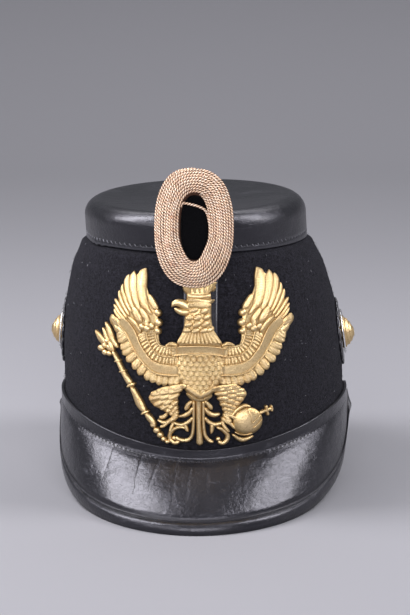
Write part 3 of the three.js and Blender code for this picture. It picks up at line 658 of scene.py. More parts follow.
def felt_body(settings):
    """The felt: around(turn, z) between the arched foot and the crown, with soft hand-made unevenness
    and nap where it is bare."""
    turn, v = grid(full_turn(380), np.linspace(0, 1, 100))
    foot = seam(turn) - FELT_TUCK
    tucked = np.maximum(v - FELT_OPEN, 0) / (1 - FELT_OPEN) * (CAP_STRAIGHT - CAP_TUCK)
    z = mix(foot, CAP_EDGE - GAP, np.minimum(v / FELT_OPEN, 1)) + tucked
    bare = ramp(foot + 8, foot + 14, z) * (1 - ramp(140, 146, z))
    nap = np.random.default_rng(31).normal(0, 0.09, turn.shape)
    uneven = (0.22 * ripple(5 * np.sin(turn), 5 * np.cos(turn), z / 14, seed=3) + nap) * bare
    body = Mesh()
    body.wall(around(turn, z, -FELT), around(turn, z, uneven), loop=True)
    felt = felt_finish(settings.felt_color)
    obj = body.build("felt_body", felt)
    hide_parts("shell")
    fuzz = loose_fibres(settings.fuzz_count, stand=1.1, radius=0.07, longest=3.4, seed=41)
    fuzz = fuzz.build("felt_fuzz", felt)
    pale = thread_finish("lint", (0.2, 0.2, 0.22))
    lint = loose_fibres(settings.lint_count, stand=0.25, radius=0.1, longest=1.3, seed=42)
    lint = lint.build("felt_lint", pale)


def loose_fibres(count, stand, radius, longest, seed):
    """Short bent fibres on the felt: each an arc that starts in the felt and stands off it by up to
    a height."""
    rng = np.random.default_rng(seed)
    fibres = Mesh()
    t = np.linspace(0, 1, 5)
    for _ in range(count):
        turn = rng.uniform(0, 2 * math.pi)
        z = rng.uniform(float(seam(np.array(turn))) + FIBRE_MARGIN, CAP_EDGE - FIBRE_MARGIN)
        length, way = rng.uniform(0.35, 1) * longest, rng.uniform(0, 2 * math.pi)
        bend = rng.uniform(-0.8, 0.8) * length
        across = t * length * math.cos(way) - np.sin(t * math.pi) * bend * math.sin(way) * 0.5
        up = t * length * math.sin(way) + np.sin(t * math.pi) * bend * math.cos(way) * 0.5
        lift = 0.05 + rng.uniform(0.2, 1) * stand * np.sin(t * math.pi * 0.75)
        fibres.tube(sweep(around(turn + across / FELT_ARM, z + up, lift), radius, 3))
    return fibres


def crown_tilt(points):
    """Tips the crown: the higher above its edge, the more it drops to the front and to one end."""
    share = (points[..., 2] - CAP_EDGE) / CAP_SKIRT
    pitch = math.tan(math.radians(CROWN_PITCH)) * (points[..., 1] + CROWN_FORWARD)
    roll = math.tan(math.radians(CROWN_ROLL)) * points[..., 0]
    points[..., 2] += share * (pitch + roll)
    return points


def crown_surface(turn, v, inset, pressed=0.0):
    """The crown: v from 0 to 1 up the skirt, to 2 round the rim, and to 3 in to the middle of the top.
    The stitch line may be pressed in, and the edge stands off the felt where it is torn."""
    bend = np.clip(v - 1, 0, 1) * math.pi / 2
    inward = np.clip(v - 2, 0, 1)
    round_ = CAP_ROUND - inset
    corner = inset + round_ * (1 - np.cos(bend))
    above = np.clip(v, 0, 1) * CAP_STRAIGHT
    torn = np.exp((np.cos(turn - TEAR_TURN) - 1) / 0.012) * (1 - ramp(0, 5, above))
    z = CAP_EDGE + above + round_ * np.sin(bend) - 0.5 * torn * (1 + np.sin(turn * 70))
    _, _, mid_x, mid_y = section(z)
    z = z - CAP_SINK * np.sin(inward * math.pi / 2)
    wavy = ripple(7 * np.sin(turn), 7 * np.cos(turn), v * 4, seed=8)
    soft = 0.18 * wavy * (1 - inward) - pressed * bell(above - CAP_STITCH_RISE, 0.8) + 1.2 * torn
    x = mid_x + (CROWN_WIDTH / 2 - corner + soft) * (1 - inward) * np.sin(turn)
    y = mid_y - (CROWN_LENGTH / 2 - corner + soft) * (1 - inward) * np.cos(turn)
    hump = 0.35 * ripple(x / 18, y / 18, seed=11) * ramp(2.0, 2.3, v)
    return crown_tilt(np.stack([x, y, z + hump], -1))


def crown_leather(settings):
    """The crown cap: crown_surface outside and inside, with a pressed stitch line and a worn cut edge."""
    skirt, rim, top = np.linspace(0, 1, 40), np.linspace(1, 2, 20), np.linspace(2, 3, 24)
    vs = np.concatenate([skirt, rim[1:], top[1:]])
    turn, v = grid(np.linspace(math.pi, 3 * math.pi - 0.0005, 400), vs)
    outer = crown_surface(turn, v, inset=0, pressed=0.3)
    inner = crown_surface(turn, v, inset=LEATHER)
    above = v * CAP_STRAIGHT
    relief = 0.5 + 0.4 * (1 - ramp(1.2, 2.6, above)) - 0.25 * bell(above - CAP_STITCH_RISE, 0.7)
    pitch = 2 * math.pi * (CROWN_WIDTH + CROWN_LENGTH) / 4 / CAP_STITCHES
    uv = np.stack([turn * CAP_STITCHES / (2 * math.pi) * pitch, above], -1)
    cap = Mesh()
    cap.wall(inner, outer, loop=True, uv=uv, relief=relief)
    # The finish paints shade in the stitch holes.
    finish = leather_finish("crown_leather", settings.leather_color, gloss=0.27, wear=0.7, coat=0.2,
                            holes=(pitch, CAP_STITCH_RISE, 0.75, 1.15, 0.5))
    obj = cap.build("crown_leather", finish, 1e-6)
    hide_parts("crown_cap")


# Section of a peak's blade from its bend (0) to its rim (1): shares of the reach and of the drop
BLADE_OUT = np.array([0, 0.04, 0.16, 0.33, 0.5, 0.68, 0.86, 0.93, 0.985, 1])
BLADE_DOWN = np.array([0, 0.05, 0.13, 0.27, 0.42, 0.6, 0.79, 0.87, 0.945, 1])
BLADE_SHARE = np.array([0, 0.05, 0.18, 0.34, 0.5, 0.67, 0.84, 0.91, 0.97, 1])


def peak_across(turn, v, facing):
    """Millimetres across a peak from its middle, and down it from its bend."""
    return (turn - facing) * PEAK_ARM, np.where(v < 0, v * COLLAR, v * BLADE)


def peak_surface(turn, v, facing, reach, side, span, rim, dented):
    """A peak: v from -1 to 0 down the collar, then to 1 out along the blade. Gives its inside, its
    outside and its relief."""
    top = seam(turn)
    aside = np.abs(turn - facing) / math.radians(span)
    rim_z = through(*rim, aside) * SIDE_SEAM
    blade = np.clip(v, 0, 1)
    base = around(turn, top - COLLAR, SEAT + LEATHER)
    tip_x = (BODY_WIDTH / 2 + side) * np.sin(turn)
    tip_y = -(BODY_LENGTH / 2 + reach) * np.cos(turn)
    tip = np.stack([tip_x, tip_y, rim_z], -1)
    width = np.hypot(tip[..., 0] - base[..., 0], tip[..., 1] - base[..., 1])
    way = (tip - base)[..., :2] / width[..., None]

    def line(at):
        out = through(BLADE_SHARE, BLADE_OUT, at) * width
        return out, mix(top - COLLAR, rim_z, through(BLADE_SHARE, BLADE_DOWN, at))

    out, z = line(blade)
    step = 0.012
    ahead, lower = line(np.clip(blade + step, 0, 1))
    behind, upper = line(np.clip(blade - step, 0, 1))
    run, fall = ahead - behind, upper - lower
    size = np.hypot(run, fall) + 1e-9
    rim_bead = RIM_BEAD * bell(blade - 0.925, 0.06) - RIM_GROOVE * bell(blade - 0.835, 0.03)
    across, down = peak_across(turn, v, facing)
    lift = rim_bead * ramp(0, 0.2, 1.12 - aside) - 0.12 * bell(down - PEAK_STITCH_DROP, 0.8)
    if dented:
        dents = 0.5 * ripple(turn * 6, blade * 3, seed=5) + 0.16 * ripple(turn * 26, blade * 9, seed=6)
        lift = lift + dents * ramp(0.05, 0.3, blade) * (1 - ramp(0.8, 0.9, blade))
        for crack in CRACKS:
            lift = lift - 0.1 * crease(across, v * BLADE, *crack[:4])
    nose = ramp(0.97, 1.0, blade)

    def shifted(depth, inset):
        back = mix(depth * fall / size, inset, nose)
        drop = mix(depth * run / size, 0, nose)
        point = base.copy()
        point[..., :2] += way * (out - back)[..., None]
        point[..., 2] = z - drop
        collar = around(turn, mix(top, top - COLLAR, np.clip(v + 1, 0, 1)), SEAT + LEATHER - depth)
        return np.where((v < 0)[..., None], collar, point)

    # The relief drops in the rim's groove, the dents, the cracks and the stitch line, where the leather
    # finish paints shade; it rises on the bead.
    relief = np.clip(0.55 + lift * np.where(lift < 0, 0.4, 0.12), 0, 1)
    return shifted(LEATHER, RIM_WIDTH), shifted(-lift, 0), relief


def crease(u, v, ax, ay, bx, by):
    """A soft groove along a straight line: a bell across it that fades at its far end."""
    dx, dy = bx - ax, by - ay
    t = np.clip(((u - ax) * dx + (v - ay) * dy) / (dx * dx + dy * dy), 0, 1)
    away = np.hypot(u - ax - dx * t, v - ay - dy * t)
    return bell(away, 1.1) * (1 - ramp(0.7, 1.0, t) * 0.7)


FRONT_PEAK = dict(facing=0, reach=PEAK_REACH, side=PEAK_SIDE, span=PEAK_SPAN,
                  rim=(FRONT_RIM_TURN, FRONT_RIM_RISE), dented=True)
REAR_PEAK = dict(facing=math.pi, reach=REAR_REACH, side=REAR_SIDE, span=REAR_SPAN,
                 rim=(REAR_RIM_TURN, REAR_RIM_RISE), dented=False)


def peak_leather(name, node, shape, columns, rows, settings, wear, cracks):
    """One peak as a wall between peak_surface's outside and inside, its columns closest at its middle.
    Its UV map has millimetres across and down, from the bend under the collar."""
    collar, blade, rim = np.linspace(-1, 0.02, 18), np.linspace(0.02, 0.76, rows), np.linspace(0.76, 1, 30)
    vs = np.concatenate([collar, blade[1:], rim[1:]])
    t = np.linspace(-1, 1, columns)
    turn, v = grid(shape["facing"] + math.radians(shape["span"]) * mix(t, t ** 3, 0.4), vs)
    inner, outer, relief = peak_surface(turn, v, **shape)
    peak = Mesh()
    uv = np.stack(peak_across(turn, v, shape["facing"]), -1)
    peak.wall(inner, outer, uv=uv, relief=relief)
    holes = (PEAK_STITCH, PEAK_STITCH_DROP, 1.15, 1.0, 0)
    # The finish paints shade in the stitch holes and along the cracks.
    finish = leather_finish(name, settings.leather_color, gloss=0.27, wear=wear, coat=0.2,
                            holes=holes, cracks=cracks)
    obj = peak.build(name, finish)
    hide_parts(node)


def badge_point(x, rise, depth):
    """Point of the badge: x sideways, rise up its leaning back from its foot, depth in front of it."""
    back = float(front_depth(BADGE_X, BADGE_FOOT)) - CROWN_RELIEF - GAP
    y = back + rise * math.sin(BADGE_LEAN) - depth * math.cos(BADGE_LEAN)
    z = BADGE_FOOT + rise * math.cos(BADGE_LEAN) + depth * math.sin(BADGE_LEAN)
    return np.stack(np.broadcast_arrays(BADGE_X + x, y, z), -1)


def badge_oval(turn, half_x, half_z):
    """Sideways and upward place on the badge of an oval, fuller than an ellipse and narrower at its foot."""
    sine, cosine = np.sin(turn), np.cos(turn)
    across = np.sign(sine) * np.abs(sine) ** (2 / BADGE_FULLNESS)
    up = np.sign(cosine) * np.abs(cosine) ** (2 / BADGE_FULLNESS)
    return half_x * across, BADGE_HEIGHT / 2 + half_z * up


def lengths(path):
    """Length along a path up to each of its points."""
    return np.concatenate([[0], np.cumsum(np.linalg.norm(np.diff(path, axis=0), axis=1))])


def even(path, step):
    """The same path with its points an even step apart."""
    length = lengths(path)
    at = np.linspace(0, length[-1], int(length[-1] / step))
    return np.stack([np.interp(at, length, path[:, k]) for k in range(3)], -1)


def unit(vectors):
    """The vectors, each brought to a length of 1."""
    return vectors / np.linalg.norm(vectors, axis=1, keepdims=True)


def square_to(path, front):
    """Two directions square to a path at its points: to the side, and over it towards the front."""
    along = unit(np.gradient(path, axis=0))
    side = unit(np.cross(along, np.array(front)))
    return side, np.cross(side, along)


def sweep(path, radius, sides):
    """Rings of a round section along a path: its centre plus the radius times the cosine of a turn
    to the side and its sine over the path."""
    side, over = square_to(path, (0.013, -1.0, 0.12))
    angle = full_turn(sides)[None, :, None]
    radius = np.broadcast_to(radius, len(path))[:, None, None]
    return path[:, None, :] + radius * (np.cos(angle) * side[:, None] + np.sin(angle) * over[:, None])


def laid_cord(mesh, path):
    """A cord of plies twisted about its path: each ply is a tube whose centre turns about it. Its relief
    is how far a point lies to the front."""
    path = even(path, CORD_STEP)
    length = lengths(path)
    side, over = square_to(path, (0.0, -1.0, 0.12))
    shape = (len(path), CORD_SIDES)
    for ply in range(CORD_PLIES):
        angle = length / CORD_PITCH * 2 * math.pi + ply * 2 * math.pi / CORD_PLIES
        turned = np.cos(angle)[:, None] * side + np.sin(angle)[:, None] * over
        radius = CORD_RADIUS * (0.54 + 0.05 * ripple(length * 0.9, seed=23))
        rings = sweep(path + CORD_RADIUS * 0.52 * turned, radius, CORD_SIDES)
        u = np.broadcast_to(np.linspace(0, 1, CORD_SIDES, endpoint=False), shape)
        v = np.broadcast_to(length[:, None], shape)
        # The cord finish paints glints where this relief is high and shade where it is low.
        proud = ((rings - path[:, None]) * over[:, None]).sum(-1) / CORD_RADIUS
        mesh.tube(rings, np.stack([u, v], -1), np.clip(0.5 + 0.5 * proud, 0, 1))


def badge_crown(share):
    """Depth of the ring at a share of the way from its opening to its rim: an arc, cut off at both ends."""
    return BADGE_DEPTH * np.sqrt(np.maximum(0.1, 1 - (2 * share - 0.9) ** 2))


# The cord's loose end from the badge's middle: sideways, up and in front
LOOSE_END = np.array([
    [-7.6, 11.6, 3.6], [-6.2, 13.6, 4.4], [-2, 12.9, 4.6], [2.4, 11.7, 4.6], [6.2, 9.4, 4.5],
    [8.0, 5, 4.3], [8.7, -0.5, 3.9], [8.4, -6, 3.2],
])


def badge_cord(settings):
    """The wound ring: a two-ply cord on a spiral of ovals from the opening out, over a low crown."""
    turns = settings.cord_turns
    t = np.linspace(0, turns, turns * 500)
    share = (t + 0.5) / (turns + 0.5)
    turn = t * 2 * math.pi
    narrow = 1 - 0.3 * (1 - share) * ramp(0.1, 1.0, -np.cos(turn))
    half_x = mix(BADGE_OPENING_WIDTH, BADGE_WIDTH - 1.4, share) / 2 * narrow
    half_z = mix(BADGE_OPENING_HEIGHT, BADGE_HEIGHT + 0.5, share) / 2
    jitter = 0.26 * ripple(t * 40, seed=21)
    start, end = ramp(0.12, 0, t), ramp(turns - 0.1, turns, t)
    x, up = badge_oval(turn, half_x + jitter - end, half_z + start - end)
    depth = BADGE_BACKING + GAP + badge_crown(share) - 0.75 + jitter - 1.6 * start - 0.5 * end
    ring = Mesh()
    laid_cord(ring, badge_point(x, up, depth))
    knots = np.arange(len(LOOSE_END), dtype=float)
    span = np.linspace(0, len(LOOSE_END) - 1, 90)
    x, up, depth = (through(knots, LOOSE_END[:, k], span) for k in range(3))
    laid_cord(ring, badge_point(x, BADGE_HEIGHT / 2 + up, depth))
    obj = ring.build("badge_winding", cord_finish("wound_cord", settings.cord_color))
    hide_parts("badge_cord")
    # The bed under the cord is dark brown, painted shade for the gaps between the turns; its relief stays
    # 0.5, so the cord finish paints all of it with its shade between plies too.
    under = Mesh()
    turn, v = grid(full_turn(120), np.linspace(0, 1, 16))
    rise = np.maximum(badge_crown(v) - 1.3, 0.3)
    x, up = badge_oval(turn, mix(BADGE_OPENING_WIDTH, BADGE_WIDTH - 2, v) / 2,
                       mix(BADGE_OPENING_HEIGHT, BADGE_HEIGHT - 2, v) / 2)
    back = badge_point(x, up, BADGE_BACKING + GAP)
    under.wall(back, badge_point(x, up, BADGE_BACKING + GAP + rise), loop=True)
    bed = under.build("badge_bed", cord_finish("cord_bed_shade", (0.1, 0.05, 0.035)))


def badge_velvet(settings):
    """The dark core: an oval, slightly crowned cushion."""
    core = Mesh()
    turn, v = grid(full_turn(72), np.sin(np.linspace(0, math.pi / 2, 16)))
    half_x, half_z = BADGE_OPENING_WIDTH / 2 - GAP, BADGE_OPENING_HEIGHT / 2 - GAP
    x, up = badge_oval(turn, half_x * (1 - v), half_z * (1 - v))
    depth = BADGE_BACKING + GAP + 1.2 + 1.2 * np.sqrt(1 - (1 - v) ** 2) + 0.1 * ripple(x, up, seed=4)
    core.wall(badge_point(x, up, BADGE_BACKING + GAP), badge_point(x, up, depth), loop=True)
    obj = core.build("badge_pile", velvet_finish(settings.velvet_color))
    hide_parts("badge_velvet")


# The plate's tables have x, y and half width in rows, of which the plate is PLATE_ROWS high, from
# its foot's middle

# The bird's trunk, neck and crown: height and the edges on both sides
TRUNK = np.array([
    (50, -7, 7), (60, -15.2, 16.3), (76, -21.2, 22.3), (100, -22.3, 23), (107, -20.5, 20),
    (113, -18, 16.5), (121, -15, 12), (133, -14, 10.3), (144, -13, 10.3), (150, -12.5, 10),
    (154, -12.5, 9.3), (157, -14.5, 11.5), (164, -17, 15.5),
])
CHEST_RISE = 3.2
NECK_RISE = 1.8

# A wing from its root to its top: inner edge and outer edge
WING_INNER = [
    (-17.7, 103), (-28, 102.5), (-34, 101.5), (-39, 105), (-40, 115), (-40.5, 126), (-41.5, 137),
    (-46, 144), (-49.5, 151), (-52, 159), (-53, 168), (-54, 174),
]
WING_OUTER = [
    (-17.7, 64), (-33, 65.5), (-48, 67.5), (-64, 79), (-77, 95), (-81, 119), (-82.5, 136),
    (-78.5, 148), (-74.5, 156), (-69.5, 164), (-64, 168), (-58, 172),
]

# Long feathers of a wing, each from its tip to its root, innermost first
PRIMARIES = [
    [(-53.2, 176.5, 1.6), (-56.5, 169.5, 4.0), (-57.6, 158, 4.6), (-56, 147, 4.2), (-52, 136, 3)],
    [(-65, 172.5, 1.5), (-65.8, 165, 3.6), (-65.5, 155, 3.6), (-63, 144, 3), (-58.5, 134, 2)],
    [(-70, 169, 1.2), (-72.3, 162, 2.6), (-71.5, 153, 2.7), (-69, 144, 2.4), (-65, 135, 1.8)],
    [(-76.2, 159.5, 0.7), (-76.8, 153, 1.7), (-74.5, 146, 1.9), (-71.5, 139, 1.7), (-67, 132, 1.4)],
    [(-79.5, 153, 0.7), (-79.5, 147.5, 1.6), (-77, 141, 1.7), (-73.5, 135, 1.5), (-69, 129, 1.3)],
    [(-84, 144.2, 0.8), (-82.5, 141, 1.6), (-79.5, 136, 1.7), (-75.5, 131, 1.5), (-71, 126, 1.2)],
    [(-84.8, 138.5, 0.8), (-83.5, 135.5, 1.5), (-80.5, 131, 1.6), (-77, 127.5, 1.4), (-73, 124.5, 1.2)],
    [(-84.6, 134, 0.8), (-83.4, 130.5, 1.3), (-80.5, 127, 1.4), (-77, 124, 1.2)],
    [(-87, 128.5, 1.8), (-86, 124, 3.6), (-83, 120, 4), (-79.5, 116.5, 3)],
    [(-85, 119, 1.5), (-82, 114.5, 2.6), (-78, 111, 2.4)],
]
# Short leaves at a wing's wrist
WRIST = [
    [(-49.5, 152, 1.5), (-47.5, 147, 3.2), (-44, 141, 3.4), (-41, 137, 2.4)],
    [(-54, 147, 1), (-52.5, 141, 2.4), (-49.5, 136, 2.2), (-46, 132, 1.5)],
    [(-65, 139, 1.5), (-63.5, 134, 3.6), (-60, 128, 3.8), (-56.5, 123.5, 2.5)],
    [(-57.5, 138, 1.5), (-55, 133, 3.2), (-51.5, 128, 3.2), (-49, 124, 2)],
    [(-70, 128, 1.2), (-66, 125, 2), (-61, 120, 2), (-57, 114, 1.6)],
    [(-51.5, 128, 1.4), (-51, 124, 2.4), (-50.5, 119.5, 3)],
    [(-33, 102, 1), (-29, 104.2, 1.8), (-24, 104.2, 2.2), (-20, 102.5, 1.5)],
]
WRIST_LOBES = [(-56, 119.8, 3.1), (-51, 118.2, 3.4), (-46.4, 121.2, 3.1)]
KNOBS = [(-40.5, 134.5, 3.8), (-39.8, 125, 4.0), (-40.4, 116.6, 3.6)]

# Lines along a wing: its inner edge, the line between its two columns of small feathers, the two
# edges of the bare band across it, and its lower outline
EDGE_LINE = [
    (-43.5, 117), (-42.2, 109.4), (-39.6, 103.6), (-34.5, 101.6), (-29, 101.4), (-21, 101.5),
]
COLUMN_LINE = [
    (-52.3, 116), (-49.8, 105.8), (-45.2, 97.6), (-38.6, 92.8), (-30, 91.6), (-21, 91.6),
]
BAND_INNER = [
    (-78.5, 127), (-71, 123.5), (-65, 117), (-61, 109.4), (-58, 101.5), (-52.3, 93), (-46.7, 87),
    (-38.6, 83.8), (-30, 82.8), (-20, 82.6),
]
BAND_OUTER = [
    (-80, 119.5), (-76, 116), (-72.2, 111.4), (-67.7, 102.2), (-64, 95.6), (-60, 89.5),
    (-52.3, 81.3), (-44.7, 75.5), (-35, 73.2), (-19, 73.6),
]
LOWER_LINE = [
    (-79.5, 113.5), (-82, 108.5), (-81.8, 103.5), (-78.8, 95), (-75, 86.5), (-67.5, 78),
    (-58.5, 69.5), (-48.5, 64.5), (-37.5, 62), (-24, 63.5),
]

# Curved band across the chest: its upper and its lower edge
CHEST_UPPER = [(-25, 101.5), (-12, 103.5), (0, 104), (12, 102.8), (26, 99.5)]
CHEST_LOWER = [(-25, 93), (-12, 95.4), (0, 96), (12, 95), (26, 91.5)]

HEAD = [
    [(-12, 142.5, 2.8), (-4, 143.8, 4.4), (5, 143.2, 4.0), (10, 141.5, 2.5)],
    [(-12.5, 147.2, 1.6), (-4, 147.6, 2.3), (5, 146.2, 2.4), (11, 146.4, 2), (13.6, 148.2, 1)],
]
EYE = (-7.2, 144.2, 1.2)
CROWN_BAND = [(-11.8, 151.6, 2.1), (-2, 151, 2.1), (9.6, 151.6, 2.1)]
BEAK = [
    [(-9, 138.5, 2.6), (-13.5, 142.6, 4.2), (-18.5, 144.8, 4.0), (-23, 144.4, 3.0), (-26, 140.8, 1.3)],
    [(-8.5, 136.6, 3.0), (-14.5, 135.9, 3.3), (-19.5, 137.4, 2.8), (-23.6, 140, 1.3)],
]
# Tufts of the neck: middle, slant and half width
NECK_TUFTS = [
    (-5.5, 138.4, 2.0, 3.0), (3.6, 137.6, 2.4, 3.6), (-9.5, 131.2, 1.2, 3.2), (-2.2, 131.4, 2.2, 3.4),
    (6, 131.8, 2.0, 3.2), (-10.5, 125, 1.6, 3.2), (-2.8, 125.4, 2.6, 3.4), (5.2, 125.6, 2.4, 3.4),
    (-11.8, 119.6, 1.0, 2.8), (-4, 119.4, 1.6, 3.0), (3.4, 119.6, 1.8, 3.0), (9.4, 120.4, 1.6, 2.6),
]
BELLY = [
    [(-14, 63.5, 1.5), (-8, 59, 3), (-1, 54.8, 3), (4, 50.5, 1.5)],
    [(13, 62, 1.5), (9, 57.5, 3), (4, 54.8, 3.2), (-3, 51, 2)],
    [(-13, 56, 1.2), (-7, 50.8, 2.2), (0, 48.8, 2.2), (7, 50, 2), (12, 54, 1.2)],
]

# Thigh on the sceptre's side, and on the orb's side: the line at the hip and the outer edge, then
# the tiers of feathers between them, each with the shares of the way where it starts and ends, its
# count, half width and lift
LEFT_HIP = [(-13, 64), (-17, 60.5), (-20.5, 54), (-21.5, 46), (-21, 37.5)]
LEFT_EDGE = [(-38, 57.5), (-49.5, 50), (-44.5, 41), (-34, 36), (-26, 30)]
RIGHT_HIP = [(12, 61), (15, 56), (18, 50), (20.5, 43), (23.5, 35.5)]
RIGHT_EDGE = [(36, 62), (44.5, 55), (42, 47.5), (36, 40.5), (31, 32.5)]
THIGH_TIERS = [(0.42, 1.0, 9, 2.7, 0.4), (0.16, 0.7, 8, 2.5, 0.7), (-0.06, 0.4, 7, 2.3, 1.0)]

# Shin and claw on both sides
LEFT_LEG = [
    [(-23, 35, 3), (-23.5, 31, 3), (-28, 27, 2.5), (-34, 24, 2.2), (-41, 26.5, 1.2)],
    [(-31, 34, 1.8), (-35, 30, 2.1), (-39.5, 29.5, 1.5)],
    [(-29, 27, 1.7), (-34, 21.5, 1.9), (-38.5, 19, 1.3)],
    [(-25, 26, 1.5), (-27.5, 19.5, 1.8), (-29, 14.5, 1.2)],
]
RIGHT_LEG = [
    [(24, 36, 3.4), (25.5, 31.5, 3.3), (27.5, 27.5, 2.8), (30, 24, 2)],
    [(20.5, 31, 1.7), (24.5, 27, 2.1), (30, 23, 1.9), (34, 18, 1.4)],
    [(26, 33, 1.9), (31.5, 30.5, 2), (36.5, 27.5, 1.4)],
    [(21, 28, 1.6), (23.5, 21, 1.8), (28.5, 15, 1.3)],
]
TAIL = [
    [(-1, 49, 3.2), (-1, 36, 2.8), (-0.8, 22, 2.6), (-0.3, 10, 3.2), (0.2, 1.5, 3.8)],
    [(-5.8, 48, 1.8), (-5.8, 36, 1.6), (-6.2, 22, 1.7), (-7.5, 12, 1.9), (-11, 7, 2.1), (-15.8, 6, 1.7)],
    [(3.6, 48, 1.8), (3.6, 36, 1.6), (3.8, 22, 1.7), (5.3, 12, 1.9), (9, 6.5, 2.1), (13.5, 5, 1.7)],
]
# Scrolls of the tail on the sceptre's side, and on the orb's side
LEFT_SCROLLS = [
    [(-7, 48, 1.5), (-10.8, 43.8, 2), (-13, 40, 2), (-14, 37.5, 1)],
    [(-6.5, 41, 1.6), (-10, 35.5, 2), (-15, 32.3, 1.9), (-21.5, 31.5, 1)],
    [(-6.5, 31, 1.4), (-11, 25.5, 1.8), (-17, 22.5, 1.9), (-23, 23.5, 1.6), (-27, 26.5, 0.9)],
    [(-14.5, 24, 1.6), (-13, 19, 1.8), (-11, 15.5, 1)],
    [(-12.5, 19, 1.3), (-19, 20.3, 1.5), (-25.5, 17.5, 1.7), (-29.3, 12, 1.8), (-28.5, 6, 1.9), (-24, 3.3, 2),
     (-19.5, 5.5, 1.8)],
    [(-24.5, 10.4, 1.6), (-21, 7.6, 1.9), (-16, 6.3, 1.8), (-10, 7.5, 1.5)],
]
RIGHT_SCROLLS = [
    [(4.5, 48, 1.5), (8.3, 43.8, 2), (10.8, 40.5, 2), (12, 38.5, 1)],
    [(4.5, 41, 1.6), (8.5, 35.5, 2), (14, 33, 2.2), (20, 34.5, 1.4)],
    [(4.5, 31, 1.4), (9, 25.5, 1.8), (15, 23, 2), (22.5, 25, 1.6)],
    [(12, 24, 1.8), (11.8, 18, 1.8), (10.8, 13.5, 0.9)],
    [(16, 20.5, 1.3), (22, 17.5, 1.7), (26.8, 12, 1.9), (26, 6, 2), (21.5, 3.3, 1.9), (17.5, 6, 1.8)],
]
SCROLL_BEADS = [(-24.6, 8.6, 2.4), (17.6, 8.2, 2.4), (-30.5, 4.6, 2.0)]

# The sceptre's shaft from its head down, its collars, and the leaves and beads of its head and foot
SHAFT = [
    [(-86, 92, 1.9), (-80, 81, 2.2), (-74.8, 71, 2.5), (-70.4, 64, 3.2), (-67.4, 60, 3.6)],
    [(-67.4, 59, 2.4), (-62.8, 50, 3.2), (-59.2, 42, 4.2), (-55.7, 36.5, 3.4), (-52.6, 32.5, 2.6)],
    [(-53, 33, 2.4), (-49.3, 28, 3.4), (-46.2, 24, 3.2), (-43.8, 19, 2.7)],
]
SHAFT_COLLARS = [
    [(-71.3, 57.2, 1.2), (-67, 59.6, 2), (-63, 62, 1.2)],
    [(-57.2, 30.6, 1), (-53, 33, 1.7), (-49.2, 35, 1)],
    [(-83.8, 81.4, 0.8), (-80.4, 82.6, 1.4), (-77.4, 83.8, 0.8)],
    [(-79, 71.6, 0.8), (-75.4, 72.8, 1.3), (-72, 74, 0.8)],
]
SCEPTRE_LEAVES = [
    [(-105.2, 109.5, 0.6), (-102.5, 105.5, 2.4), (-98.5, 100.5, 3.4), (-93, 97, 2.6)],
    [(-96.5, 114, 0.6), (-95, 109.5, 1.7), (-93.5, 105, 2.1), (-90.5, 100, 1.9)],
    [(-93.7, 120, 0.6), (-91, 114.5, 2.4), (-88.5, 108, 3), (-86, 100, 2.6)],
    [(-87, 106, 1.4), (-84, 100, 2.2), (-80.5, 95.5, 1.6)],
    [(-89, 101, 2), (-88, 96, 3), (-85.5, 91, 2.2)],
]
SCEPTRE_BEADS = [
    (-99, 92.2, 3.2), (-94.5, 88.6, 3.0), (-89.8, 88.4, 2.8), (-95, 95.6, 3.0), (-89.6, 94.4, 3.4),
    (-92.3, 100.6, 2.4), (-59.3, 42.5, 2.6), (-45.4, 20.6, 3.2), (-42, 15.3, 3.6), (-38.6, 10.8, 3.4),
    (-35, 6.8, 2.8), (-31.8, 4.4, 2.2),
]

# The orb's middle and radius in rows, and its rise in millimetres
ORB = (45.8, 24.6, 14.4)
ORB_RISE = 3.4
ORB_TRIM = [
    [(29.5, 30, 1.2), (35.5, 37.2, 1.9), (42.5, 41, 1.9), (49, 39.4, 1)],
    [(31, 12.5, 1.2), (40.5, 5.8, 2.5), (51.5, 9, 1.5)],
    [(57, 31.6, 2.2), (62, 33.5, 1.8), (67.8, 35, 1.9), (69.5, 35.3, 1)],
    [(63.5, 39.2, 1.6), (64.5, 34, 1.2), (65.4, 28.3, 1.6)],
    [(68, 38.5, 1), (69.3, 35.4, 1.2), (69, 31.8, 1)],
]
# Raised lines on the orb, as the orb's height rises under them
ORB_LINES = [
    [(48.5, 23.5, 0.7), (53, 27.4, 0.7), (57, 30.6, 0.7)],
    [(49.5, 18.6, 0.6), (54.8, 22.4, 0.6), (59, 26.2, 0.6)],
    [(45.5, 38, 0.5), (47.4, 31, 0.6), (48.5, 23.5, 0.6)],
    [(33.5, 14.5, 0.7), (41, 10.8, 0.8), (50, 12.6, 0.7)],
]


def plate_point(x, y, lift):
    """Point of the plate at x and y in its rows, lifted off the felt."""
    return on_front(PLATE_X + x * PLATE_ROW * PLATE_WIDEN, PLATE_FOOT + y * PLATE_ROW, lift)


def trunk_edges(y):
    """Left and right edge of the bird's trunk at y."""
    return through(TRUNK[:, 0], TRUNK[:, 1], y), through(TRUNK[:, 0], TRUNK[:, 2], y)


def ground(x, y):
    """Lift of the plate's sheet: flat on the felt, crowned at the chest and carried over the sleeve at
    the neck."""
    left, right = trunk_edges(y)
    share = np.abs(x - (left + right) / 2) / ((right - left) / 2)
    crown = np.sqrt(np.maximum(0, 1 - share ** 2))
    on_neck = ramp(96, 110, y)
    rise = mix(CHEST_RISE * crown, NECK_LIFT - GAP + NECK_RISE * crown, on_neck)
    return GAP + PLATE_SHEET + rise * (1 - ramp(1.0, 1.22, share)) * ramp(44, 56, y)


def orb_ground(x, y):
    """Lift of the orb's round face."""
    away = np.hypot(x - ORB[0], y - ORB[1]) / ORB[2]
    return GAP + PLATE_SHEET + ORB_RISE * np.sqrt(np.maximum(0, 1 - away ** 2))


